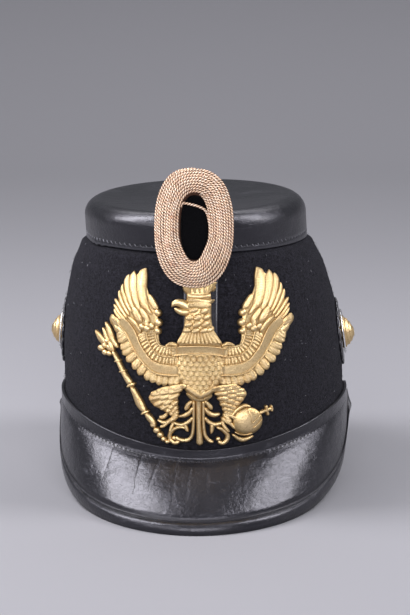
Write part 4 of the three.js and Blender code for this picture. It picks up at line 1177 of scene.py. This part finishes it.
def rounded(distance, reach):
    """Factor that rounds an end off over a reach, as a quarter circle does."""
    return np.sqrt(1 - (1 - np.clip(distance / reach, 0.02, 1)) ** 2)


def leaf(mesh, line, rise, mirror=1, lift=0.0, pitch=0.0, spine=0.0, tilt=0.0, steps=15, sides=8,
         blunt=False, sheet=ground, barbs=True):
    """A raised leaf or feather along a smooth line, crowned across, with round ends, a spine and a tilt.
    Lift moves it off the sheet, and pitch adds more towards its far end."""
    x, y, half = curve(line, steps).T
    length = np.concatenate([[0], np.cumsum(np.hypot(np.diff(x), np.diff(y)))])
    widest = max(np.max(half), 0.4)
    end = 1 if blunt else rounded(length, widest) * rounded(length[-1] - length, widest)
    half = np.maximum(half, 0.25) * end
    way_x, way_y = np.gradient(x), np.gradient(y)
    size = np.hypot(way_x, way_y)
    u = np.sin(np.linspace(-0.5, 0.5, sides) * math.pi)[None, :]
    px = mirror * (x[:, None] - (way_y / size * half)[:, None] * u)
    py = y[:, None] + (way_x / size * half)[:, None] * u
    crown = np.sqrt(1 - u ** 2) * np.broadcast_to(end, len(x))[:, None] ** 0.7
    ground_lift = sheet(px, py)
    share = (length / length[-1])[:, None]
    top = ground_lift + lift + pitch * share + rise * crown + spine * bell(u, 0.2) * crown + tilt * u
    along = length[:, None] * PLATE_ROW * np.ones_like(u)
    uv = np.stack([np.broadcast_to(u, top.shape), along], -1) if barbs else None
    # The relief is 0 at the leaf's edges, which the brass finish paints with dark brown shade, and high along
    # its crown, which it paints lighter as highlight.
    relief = np.clip(crown * (0.75 + 0.25 * bell(u, 0.25)), 0, 1)
    back = np.minimum(ground_lift - PLATE_SHEET, top - 0.25)
    mesh.wall(plate_point(px, py, back), plate_point(px, py, top - 0.3), uv=uv, relief=relief)


def leaves(mesh, lines, rise, **more):
    """A leaf along each of the lines."""
    for line in lines:
        leaf(mesh, line, rise, **more)


def fuller(line, factor):
    """The same line with its half widths times a factor."""
    return [(x, y, half * factor) for x, y, half in line]


def bead(mesh, x, y, radius, rise, mirror=1, sides=14, rings=6, lift=0.0):
    """A round dome on the plate: its height is that of a half circle over its radius."""
    turn, v = grid(full_turn(sides), 1 - np.cos(np.linspace(0, math.pi / 2, rings)))
    px = mirror * (x + radius * (1 - v) * np.sin(turn))
    py = y + radius * (1 - v) * np.cos(turn)
    crown = np.sqrt(np.maximum(0, 1 - (1 - v) ** 2))
    foot = ground(px, py)
    outer = plate_point(px, py, foot - 0.3 + lift + rise * crown)
    # Its relief is the crown: painted shade round its foot, painted highlight on its top.
    mesh.wall(plate_point(px, py, foot - PLATE_SHEET), outer, loop=True, relief=crown)


def beads(mesh, places, rise, **more):
    """A bead at each of the places, which have its middle and radius."""
    for x, y, radius in places:
        bead(mesh, x, y, radius, rise, **more)


def sheet_between(mesh, first, second, lift, steps, across, mirror=1):
    """A plain sheet of the plate between two smooth lines of points."""
    a, b = curve(first, steps)[:, None, :2], curve(second, steps)[:, None, :2]
    at = mix(a, b, np.linspace(0, 1, across)[None, :, None])
    px, py = mirror * at[..., 0], at[..., 1]
    foot = ground(px, py)
    outer = plate_point(px, py, foot + lift)
    # Raised sheets get relief 0.8, which the brass finish paints lighter as highlight.
    relief = np.full(px.shape, 0.8 if lift > 0 else 0.3)
    mesh.wall(plate_point(px, py, foot - PLATE_SHEET), outer, relief=relief)


def wire(mesh, line, half, rise, mirror=1, steps=26, **more):
    """A thin raised line of even width."""
    leaf(mesh, [(x, y, half) for x, y in line], rise, mirror, steps=steps, sides=5, barbs=False, **more)


def between_lines(mesh, first, second, count, half, rise, mirror, over=0.0, **more):
    """A row of short feathers from one line across to another, going over it a little."""
    a, b = curve(first, 60), curve(second, 60)
    at = np.linspace(1, 58, count).astype(int)
    for p, q in zip(a[at, :2], b[at, :2]):
        line = [(*p, half * 0.9), (*mix(p, q, 0.55), half * 1.12), (*mix(p, q, 1 + over), half)]
        leaf(mesh, line, rise, mirror, steps=9, sides=7, **more)


def wing(mesh, mirror):
    """One wing: its sheet, long feathers, wrist, two columns of small feathers, bare band and lower
    feathers."""
    sheet_between(mesh, WING_INNER, WING_OUTER, 0.0, 60, 14, mirror)
    for number, line in enumerate(PRIMARIES):
        leaf(mesh, fuller(line, 1.25), 0.95, mirror, lift=0.1 + 0.03 * number, spine=0.25, tilt=0.3,
             steps=20, sides=9)
    between_lines(mesh, BAND_OUTER, LOWER_LINE, 17, 3.9, 0.95, mirror, lift=0.05, spine=0.25, tilt=0.3)
    between_lines(mesh, COLUMN_LINE, EDGE_LINE, 15, 1.75, 0.75, mirror, lift=0.1, pitch=0.25)
    between_lines(mesh, BAND_INNER[3:], COLUMN_LINE, 17, 1.7, 0.65, mirror, lift=0.05, pitch=0.3)
    sheet_between(mesh, BAND_INNER, BAND_OUTER, 0.55, 50, 8, mirror)
    wire(mesh, BAND_INNER, 0.75, 0.65, mirror, lift=0.75, steps=34)
    wire(mesh, BAND_OUTER, 0.75, 0.65, mirror, lift=0.75, steps=34)
    wire(mesh, COLUMN_LINE, 0.6, 0.5, mirror, lift=0.65)
    wire(mesh, EDGE_LINE, 0.9, 0.8, mirror, lift=0.4)
    for number, line in enumerate(WRIST):
        leaf(mesh, line, 0.95, mirror, lift=0.35 + 0.08 * number, spine=0.25, tilt=0.2, sides=8)
    beads(mesh, WRIST_LOBES, 1.3, mirror=mirror, lift=0.75)
    beads(mesh, KNOBS, 2.3, mirror=mirror, sides=18, rings=8)


def thigh(mesh, hip, edge):
    """A feathered thigh: a sheet between two lines under tiers of feathers that overlap towards the
    hip."""
    hip, edge = np.array(hip, float), np.array(edge, float)
    sheet_between(mesh, hip, edge, 0.35, 24, 8)
    for start, end, count, half, lift in THIGH_TIERS:
        between_lines(mesh, mix(hip, edge, start), mix(hip, edge, end), count, half, 0.8, 1,
                      lift=lift, pitch=0.3, spine=0.2, tilt=0.15)


def trunk(mesh):
    """The chest, neck, head and crown: a crowned sheet under scale feathers, a curved band and a fringe."""
    y = np.linspace(TRUNK[0, 0], TRUNK[-1, 0], 70)
    left, right = trunk_edges(y)
    sheet_between(mesh, np.stack([left, y], -1), np.stack([right, y], -1), 0.0, 90, 22)
    for row in range(SCALE_ROWS):
        at = 90.5 - SCALE_STEP * row
        low, high = trunk_edges(np.array(at - 1))
        middle, half = (low + high) / 2, (high - low) / 2
        count = int(half / SCALE_PITCH)
        for place in range(-count, count + 1):
            if (place + row) % 2 == 0 and abs(place * SCALE_PITCH) < half - 0.8:
                x = middle + place * SCALE_PITCH
                line = [(x, at + 4.2, 2.4), (x, at + 1, 3.2), (x, at - 3.0, 2.7)]
                leaf(mesh, line, 0.6, lift=-0.05, pitch=0.55, spine=0.2, steps=10, sides=8)
    for x, y, slant, half in NECK_TUFTS:
        line = [(x - 4, y - slant, half * 0.6), (x, y, half), (x + 4, y + slant * 0.7, half * 0.75)]
        leaf(mesh, line, 1.3, lift=0.2, spine=0.15, tilt=-0.4, steps=14, sides=9)
    for place in range(11):
        share = place / 10
        top, foot = mix(-12.5, 9.5, share), mix(-20.5, 19, share)
        line = [(top, 118.8, 1.3), (mix(top, foot, 0.5), 112.5, 1.9), (foot, 105.4, 1.5)]
        leaf(mesh, line, 0.8, lift=0.05, pitch=0.3, spine=0.1, steps=12, sides=7)
    sheet_between(mesh, CHEST_UPPER, CHEST_LOWER, 0.7, 40, 10)
    wire(mesh, CHEST_UPPER, 0.75, 0.7, lift=0.85)
    wire(mesh, CHEST_LOWER, 0.75, 0.7, lift=0.85)
    leaves(mesh, BELLY, 1.0, lift=0.5, spine=0.3)
    leaves(mesh, HEAD, 1.2, lift=0.4)
    bead(mesh, *EYE, 0.8, lift=1.3)
    leaves(mesh, BEAK, 1.6, lift=0.3, barbs=False, steps=18, sides=9,
           sheet=lambda x, y: np.full(x.shape, NECK_LIFT + PLATE_SHEET + 0.3))
    leaf(mesh, CROWN_BAND, 0.8, lift=0.3, barbs=False, blunt=True)
    for place in range(7):
        x = mix(-12.8, 11.8, place / 6)
        leaf(mesh, [(x, 153.8, 1.2), (x * 1.12, 157, 1.6), (x * 1.2, 160.5, 1.3)], 0.7, steps=9, sides=6)


def eagle_plate(settings):
    """The brass plate: the crowned bird with spread wings, sceptre, orb and scrolled tail in low relief."""
    plate = Mesh()
    wing(plate, 1)
    wing(plate, -1)
    trunk(plate)
    thigh(plate, LEFT_HIP, LEFT_EDGE)
    thigh(plate, RIGHT_HIP, RIGHT_EDGE)
    leaves(plate, TAIL, 1.3, lift=0.2, spine=0.35, steps=20, barbs=False)
    leaves(plate, LEFT_LEG + RIGHT_LEG, 1.3, lift=0.6, spine=0.2)
    for line in LEFT_SCROLLS + RIGHT_SCROLLS:
        leaf(plate, fuller(line, SCROLL_FULLNESS), 1.2, lift=0.1, spine=0.2, steps=18, barbs=False)
    leaves(plate, SHAFT, 1.7, lift=0.4, spine=0.25, barbs=False)
    leaves(plate, SHAFT_COLLARS, 1.4, lift=0.9, barbs=False, steps=9)
    for number, line in enumerate(SCEPTRE_LEAVES):
        leaf(plate, line, 1.1, lift=0.3 + 0.15 * number, spine=0.35)
    beads(plate, SCEPTRE_BEADS, 1.7, lift=0.5)
    beads(plate, SCROLL_BEADS, 1.6, lift=0.3)
    bead(plate, *ORB, ORB_RISE, sides=44, rings=14, lift=0.3)
    leaves(plate, ORB_TRIM, 1.2, lift=0.3, spine=0.15, barbs=False)
    leaves(plate, ORB_LINES, 0.45, lift=0.35, barbs=False, steps=12, sides=5, sheet=orb_ground)
    obj = plate.build("plate_relief", brass_finish("plate_brass", settings.brass_color))
    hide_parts("eagle_plate")


def badge_sleeve(settings):
    """The narrow pocket behind the bird's neck: sewn flat at both sides and raised over the prong."""
    u, v = grid(np.linspace(-1, 1, 60), np.linspace(0, 1, 40))
    x = SLEEVE_X + u * SLEEVE_WIDTH / 2
    z = mix(SLEEVE_FOOT, SLEEVE_TOP, v)
    raised = 1 - ramp((PRONG_WIDTH / 2 + 0.6) * 2 / SLEEVE_WIDTH, 0.9, np.abs(u))
    seam_line = bell(np.abs(u) - 0.9, 0.03)
    edge = ramp(0.93, 1.0, np.abs(u))
    lift = GAP + 1 + raised * (NECK_LIFT - GAP - 1.1) - 0.25 * seam_line - 0.3 * edge ** 2
    pocket = Mesh()
    # The relief drops along the sewn lines, where the leather finish paints shade, and rises at the worn
    # edges.
    relief = np.clip(0.6 - 0.6 * seam_line + 0.4 * edge, 0, 1)
    pocket.wall(on_front(x, z, GAP * 0.7 + 0 * u), on_front(x, z, lift), relief=relief)
    finish = leather_finish("sleeve_leather", settings.leather_color, gloss=0.22, wear=0.7, coat=0.6)
    obj = pocket.build("sleeve_leather", finish)
    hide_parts("badge_sleeve")


def side_disc(side, rings, turns, shape):
    """A round piece on the hat's side: shape gives radius, lift and relief from the turn and a share from the
    rim to the middle."""
    turn, v = grid(full_turn(turns), np.linspace(0, 1, rings))
    radius, lift, back, relief = shape(turn, v)
    y, z = radius * np.sin(turn), COCKADE_Z + radius * np.cos(turn)
    piece = Mesh()
    piece.wall(on_side(side, y, z, back), on_side(side, y, z, lift), loop=True, relief=relief)
    return piece


def fluted_disc(turn, v):
    """Pleated disc: radial flutes outside the ring, flat under it."""
    flute = np.abs(np.sin(turn * COCKADE_FLUTES / 2))
    radius = COCKADE_WIDTH / 2 * (1 - v) * (1 - 0.05 * (1 - flute) * ramp(0.25, 0.0, v))
    pleat = ramp(0.42, 0.3, v)
    lift = GAP + COCKADE_THICK * (0.4 + pleat * (0.6 * np.sqrt(flute) * rounded(v + 0.02, 0.12) - 0.1))
    # The relief is low in the flutes' valleys, where the leather finish paints shade.
    return radius, lift, np.full(v.shape, GAP), np.clip(0.15 + 0.7 * flute, 0, 1)


def milled_ring(turn, v):
    """White metal ring with a finely milled round face."""
    radius = RING_WIDTH / 2 - RING_BAND * v
    back = 2 * GAP + COCKADE_THICK
    rise = RING_THICK * np.sqrt(np.maximum(0.1, 1 - (2 * v - 1) ** 2)) * (0.93 + 0.07 * np.sin(turn * 75))
    return radius, back + rise, np.full(v.shape, back), np.full(v.shape, 0.7)


# The dome's profile: share of the way from its rim to its middle, and share of its rise
ROSETTE_STEPS = np.array([
    (0, 0.2), (0.1, 0.36), (0.2, 0.44), (0.27, 0.62), (0.4, 0.68), (0.47, 0.82), (0.62, 0.86), (0.7, 0.97),
    (1, 1),
])


def stepped_dome(turn, v):
    """Brass dome in rounded steps, finely ridged, the same at every turn."""
    radius = ROSETTE_WIDTH / 2 * (1 - v)
    back = 2 * GAP + COCKADE_THICK * 0.4
    rise = (ROSETTE_RISE + COCKADE_THICK) * through(ROSETTE_STEPS[:, 0], ROSETTE_STEPS[:, 1], v)
    ridge = 0.22 * np.sin(v * 34) * ramp(0.02, 0.1, v) * (1 - ramp(0.85, 0.95, v))
    # The ridges' crests get a higher relief, which the brass finish paints lighter as highlight.
    return radius, back + rise + ridge, np.full(v.shape, back), np.clip(0.65 + ridge * 1.6, 0, 1)


def cockades(settings):
    """The fluted discs, their rings and their domes on both sides."""
    for name, side in (("left", -1), ("right", 1)):
        disc = side_disc(side, rings=24, turns=210, shape=fluted_disc)
        finish = leather_finish("cockade_" + name, settings.leather_color, gloss=0.2, wear=0.2, coat=0.6)
        obj = disc.build("cockade_disc_" + name, finish, 1e-6)
        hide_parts("cockade_" + name)
        ring = side_disc(side, rings=9, turns=300, shape=milled_ring)
        obj = ring.build("cockade_band_" + name, metal_finish("ring_" + name, settings.metal_color))
        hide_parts("cockade_ring_" + name)
        dome = side_disc(side, rings=44, turns=64, shape=stepped_dome)
        obj = dome.build("rosette_dome_" + name, brass_finish("rosette_" + name, settings.brass_color), 1e-6)
        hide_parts("rosette_" + name)


def crown_stitches(settings):
    """Slanted stitches in the row of holes above the crown's edge: short round threads, sunk at both ends."""
    row = Mesh()
    t = np.linspace(-1, 1, 7)
    for turn in (np.arange(CAP_STITCHES) + 0.5) / CAP_STITCHES * 2 * math.pi:
        up = (CAP_STITCH_RISE + t * CAP_STITCH_HALF) / CAP_STRAIGHT
        path = crown_surface(turn - 0.012 - t * 0.011, up, 0.25 + 0.45 * t ** 2)
        row.tube(sweep(path, CAP_THREAD * np.sqrt(1.02 - t ** 2), 6))
    obj = row.build("crown_stitches", thread_finish("waxed_thread", settings.thread_color))


def color_property(name, description, default):
    """A colour that a maker can change."""
    return bpy.props.FloatVectorProperty(
        name=name, description=description, default=default, subtype="COLOR", min=0, max=1)


class HatSettings(bpy.types.PropertyGroup):
    """Colours and counts that a maker would change."""

    felt_color: color_property(
        name="Felt", description="Colour of the felt", default=(0.0058, 0.0055, 0.0078))
    leather_color: color_property(
        name="Leather", description="Colour of the leather", default=(0.0055, 0.0055, 0.007))
    brass_color: color_property(
        name="Brass", description="Colour of the brass", default=(0.66, 0.485, 0.24))
    cord_color: color_property(
        name="Cord", description="Colour of the wound cord", default=(0.98, 0.7, 0.49))
    velvet_color: color_property(
        name="Velvet", description="Colour of the badge's core", default=(0.003, 0.003, 0.004))
    metal_color: color_property(
        name="White metal", description="Colour of the cockade rings", default=(0.8, 0.8, 0.8))
    thread_color: color_property(
        name="Thread", description="Colour of the crown's stitches", default=(0.07, 0.07, 0.08))
    cord_turns: bpy.props.IntProperty(
        name="Cord turns", description="Turns of cord in the badge", default=10, min=4, max=16)
    fuzz_count: bpy.props.IntProperty(
        name="Fuzz", description="Dark fibres that stand off the felt", default=900, min=0, max=2000)
    lint_count: bpy.props.IntProperty(
        name="Lint", description="Pale fibres that lie on the felt", default=130, min=0, max=500)


class StageSettings(bpy.types.PropertyGroup):
    """The view and the light."""

    azimuth: bpy.props.FloatProperty(
        name="Azimuth", description="Turn of the camera from the front, in degrees", default=3.0)
    distance: bpy.props.FloatProperty(
        name="Distance", description="Level distance of the camera", default=1.0, unit="LENGTH")
    height: bpy.props.FloatProperty(
        name="Height", description="Height of the camera above the floor", default=0.2857, unit="LENGTH")
    pitch: bpy.props.FloatProperty(
        name="Pitch", description="How far the camera looks down, in degrees", default=10.52)
    focal: bpy.props.FloatProperty(
        name="Focal share", description="Focal length as a share of the picture's height", default=2.6462)
    floor_color: color_property(
        name="Floor", description="Colour of the floor", default=(0.25, 0.248, 0.264))


# The floor is flat near the hat and turns up to a bowl far from it: its reach, where it bends, its
# rise and its thickness, in millimetres
FLOOR_REACH = 8000
FLOOR_BEND = (1800, 5200)
FLOOR_RISE = 900
FLOOR_THICK = 4

SKY_COLOR = (0.75, 0.78, 0.85, 1)
SKY_STRENGTH = 0.16
LIGHT_COLOR = (0.97, 0.96, 1.0)
HAT_MIDDLE = (0, 0, 0.09)
SURROUND = (3.0, 1.5)
SURROUND_POWER = 90

# The softboxes: place, target and size in metres, and power in watts. The surrounds light the bowl.
LIGHTS = {
    "left": ((-0.8, -0.06, 0.98), HAT_MIDDLE, (0.45, 0.9), 20),
    "right": ((0.88, -0.04, 0.88), HAT_MIDDLE, (0.4, 0.85), 13),
    "front": ((0.3, -2.3, 1.0), HAT_MIDDLE, (2.0, 1.2), 47),
    "left_front": ((-1.35, -1.5, 1.0), HAT_MIDDLE, (1.5, 0.9), 15),
    "far": ((0.0, 1.7, 2.3), (0, 2.7, 0.1), (3.0, 1.5), 52),
    "surround_right": ((2.2, 0, 2.2), (5, 0, 0), SURROUND, SURROUND_POWER),
    "surround_left": ((-2.2, 0, 2.2), (-5, 0, 0), SURROUND, SURROUND_POWER),
    "surround_front": ((0, -2.2, 2.2), (0, -5, 0), SURROUND, SURROUND_POWER),
}

SENSOR_HEIGHT = 24
VIEW_END = 20


class SHAKO_OT_stage(bpy.types.Operator):
    """Sets the floor, the backdrop, the lights and the camera."""

    bl_idname = "shako.stage"
    bl_label = "Stage"

    def execute(self, context):
        s = context.scene.shako_stage
        floor = Mesh()
        turn, away = grid(full_turn(72), np.linspace(0, FLOOR_REACH, 80))
        top = np.stack([away * np.sin(turn), away * np.cos(turn), FLOOR_RISE * ramp(*FLOOR_BEND, away)], -1)
        floor.wall(top - np.array([0, 0, FLOOR_THICK]), top, loop=True)
        stage = floor.build("floor", floor_finish(s.floor_color))
        world = bpy.data.worlds.new("studio")
        context.scene.world = world
        world.use_nodes = True
        sky = world.node_tree.nodes["Background"]
        sky.inputs["Color"].default_value = SKY_COLOR
        sky.inputs["Strength"].default_value = SKY_STRENGTH
        for name, (place, target, size, power) in LIGHTS.items():
            self.light(name, place, target, size, power)
        camera = bpy.data.objects.new("camera", bpy.data.cameras.new("camera"))
        context.scene.collection.objects.link(camera)
        turn = math.radians(s.azimuth)
        x, y = s.distance * math.sin(turn), -s.distance * math.cos(turn)
        camera.location = (x + SHIFT[0] * MM, y + SHIFT[1] * MM, s.height)
        camera.rotation_euler = (math.radians(90 - s.pitch), 0, turn)
        camera.data.sensor_fit = "VERTICAL"
        camera.data.sensor_height = SENSOR_HEIGHT
        camera.data.lens = SENSOR_HEIGHT * s.focal
        camera.data.clip_end = VIEW_END
        context.scene.camera = camera
        context.scene.view_settings.view_transform = "Standard"
        return {"FINISHED"}

    @staticmethod
    def light(name, place, target, size, power):
        """One softbox that faces a target."""
        data = bpy.data.lights.new(name, "AREA")
        data.shape = "RECTANGLE"
        data.size, data.size_y = size
        data.energy = power
        data.color = LIGHT_COLOR
        obj = bpy.data.objects.new(name, data)
        bpy.context.scene.collection.objects.link(obj)
        obj.location = place
        obj.visible_camera = False
        aim = np.array(target) - np.array(place)
        level = math.hypot(aim[0], aim[1])
        obj.rotation_euler = (math.atan2(level, -aim[2]), 0, math.atan2(-aim[0], aim[1]))


class SHAKO_OT_felt(bpy.types.Operator):
    """Makes the felt body."""

    bl_idname = "shako.felt"
    bl_label = "Felt body"

    def execute(self, context):
        felt_body(context.scene.shako_hat)
        return {"FINISHED"}


class SHAKO_OT_leather(bpy.types.Operator):
    """Makes the crown and the two peaks."""

    bl_idname = "shako.leather"
    bl_label = "Crown and peaks"

    def execute(self, context):
        settings = context.scene.shako_hat
        crown_leather(settings)
        crown_stitches(settings)
        peak_leather("front_peak_leather", "front_peak", FRONT_PEAK, 470, 50, settings, 1.0, CRACKS)
        peak_leather("rear_peak_leather", "rear_peak", REAR_PEAK, 200, 24, settings, 0.6, ())
        return {"FINISHED"}


class SHAKO_OT_badge(bpy.types.Operator):
    """Makes the wound cord badge and its core."""

    bl_idname = "shako.badge"
    bl_label = "Cord badge"

    def execute(self, context):
        settings = context.scene.shako_hat
        badge_cord(settings)
        badge_velvet(settings)
        return {"FINISHED"}


class SHAKO_OT_plate(bpy.types.Operator):
    """Makes the brass plate and the pocket behind it."""

    bl_idname = "shako.plate"
    bl_label = "Plate and sleeve"

    def execute(self, context):
        settings = context.scene.shako_hat
        eagle_plate(settings)
        badge_sleeve(settings)
        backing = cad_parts["badge_backing"].data
        backing.materials.clear()
        # The solid carries no relief values, which read as 0, so the leather finish paints all of it with its
        # painted hollow shade.
        finish = leather_finish("backing_leather", settings.leather_color, gloss=0.5, wear=0.3, coat=0.0)
        backing.materials.append(finish)
        return {"FINISHED"}


class SHAKO_OT_cockades(bpy.types.Operator):
    """Makes the two side cockades."""

    bl_idname = "shako.cockades"
    bl_label = "Cockades"

    def execute(self, context):
        cockades(context.scene.shako_hat)
        return {"FINISHED"}


class SHAKO_PT_panel(bpy.types.Panel):
    """Lists the hat's steps and sizes."""

    bl_label = "Shako Hat"
    bl_idname = "SHAKO_PT_panel"
    bl_space_type = "VIEW_3D"
    bl_region_type = "UI"
    bl_category = "Shako Hat"

    def draw(self, context):
        for step in STEPS:
            self.layout.operator(step.bl_idname)
        for group in (context.scene.shako_hat, context.scene.shako_stage):
            for key in group.__annotations__:
                self.layout.prop(group, key)


STEPS = (SHAKO_OT_stage, SHAKO_OT_felt, SHAKO_OT_leather, SHAKO_OT_badge, SHAKO_OT_plate, SHAKO_OT_cockades)
CLASSES = (HatSettings, StageSettings, *STEPS, SHAKO_PT_panel)


def register():
    """Makes the classes and their settings known."""
    for cls in CLASSES:
        bpy.utils.register_class(cls)
    bpy.types.Scene.shako_hat = bpy.props.PointerProperty(type=HatSettings)
    bpy.types.Scene.shako_stage = bpy.props.PointerProperty(type=StageSettings)


def unregister():
    """Takes the settings and the classes away again."""
    del bpy.types.Scene.shako_hat
    del bpy.types.Scene.shako_stage
    for cls in reversed(CLASSES):
        bpy.utils.unregister_class(cls)


def main():
    """Builds the hat on its stage."""
    register()
    bpy.ops.shako.stage()
    bpy.ops.shako.felt()
    bpy.ops.shako.leather()
    bpy.ops.shako.badge()
    bpy.ops.shako.plate()
    bpy.ops.shako.cockades()


if __name__ == "__main__":
    main()
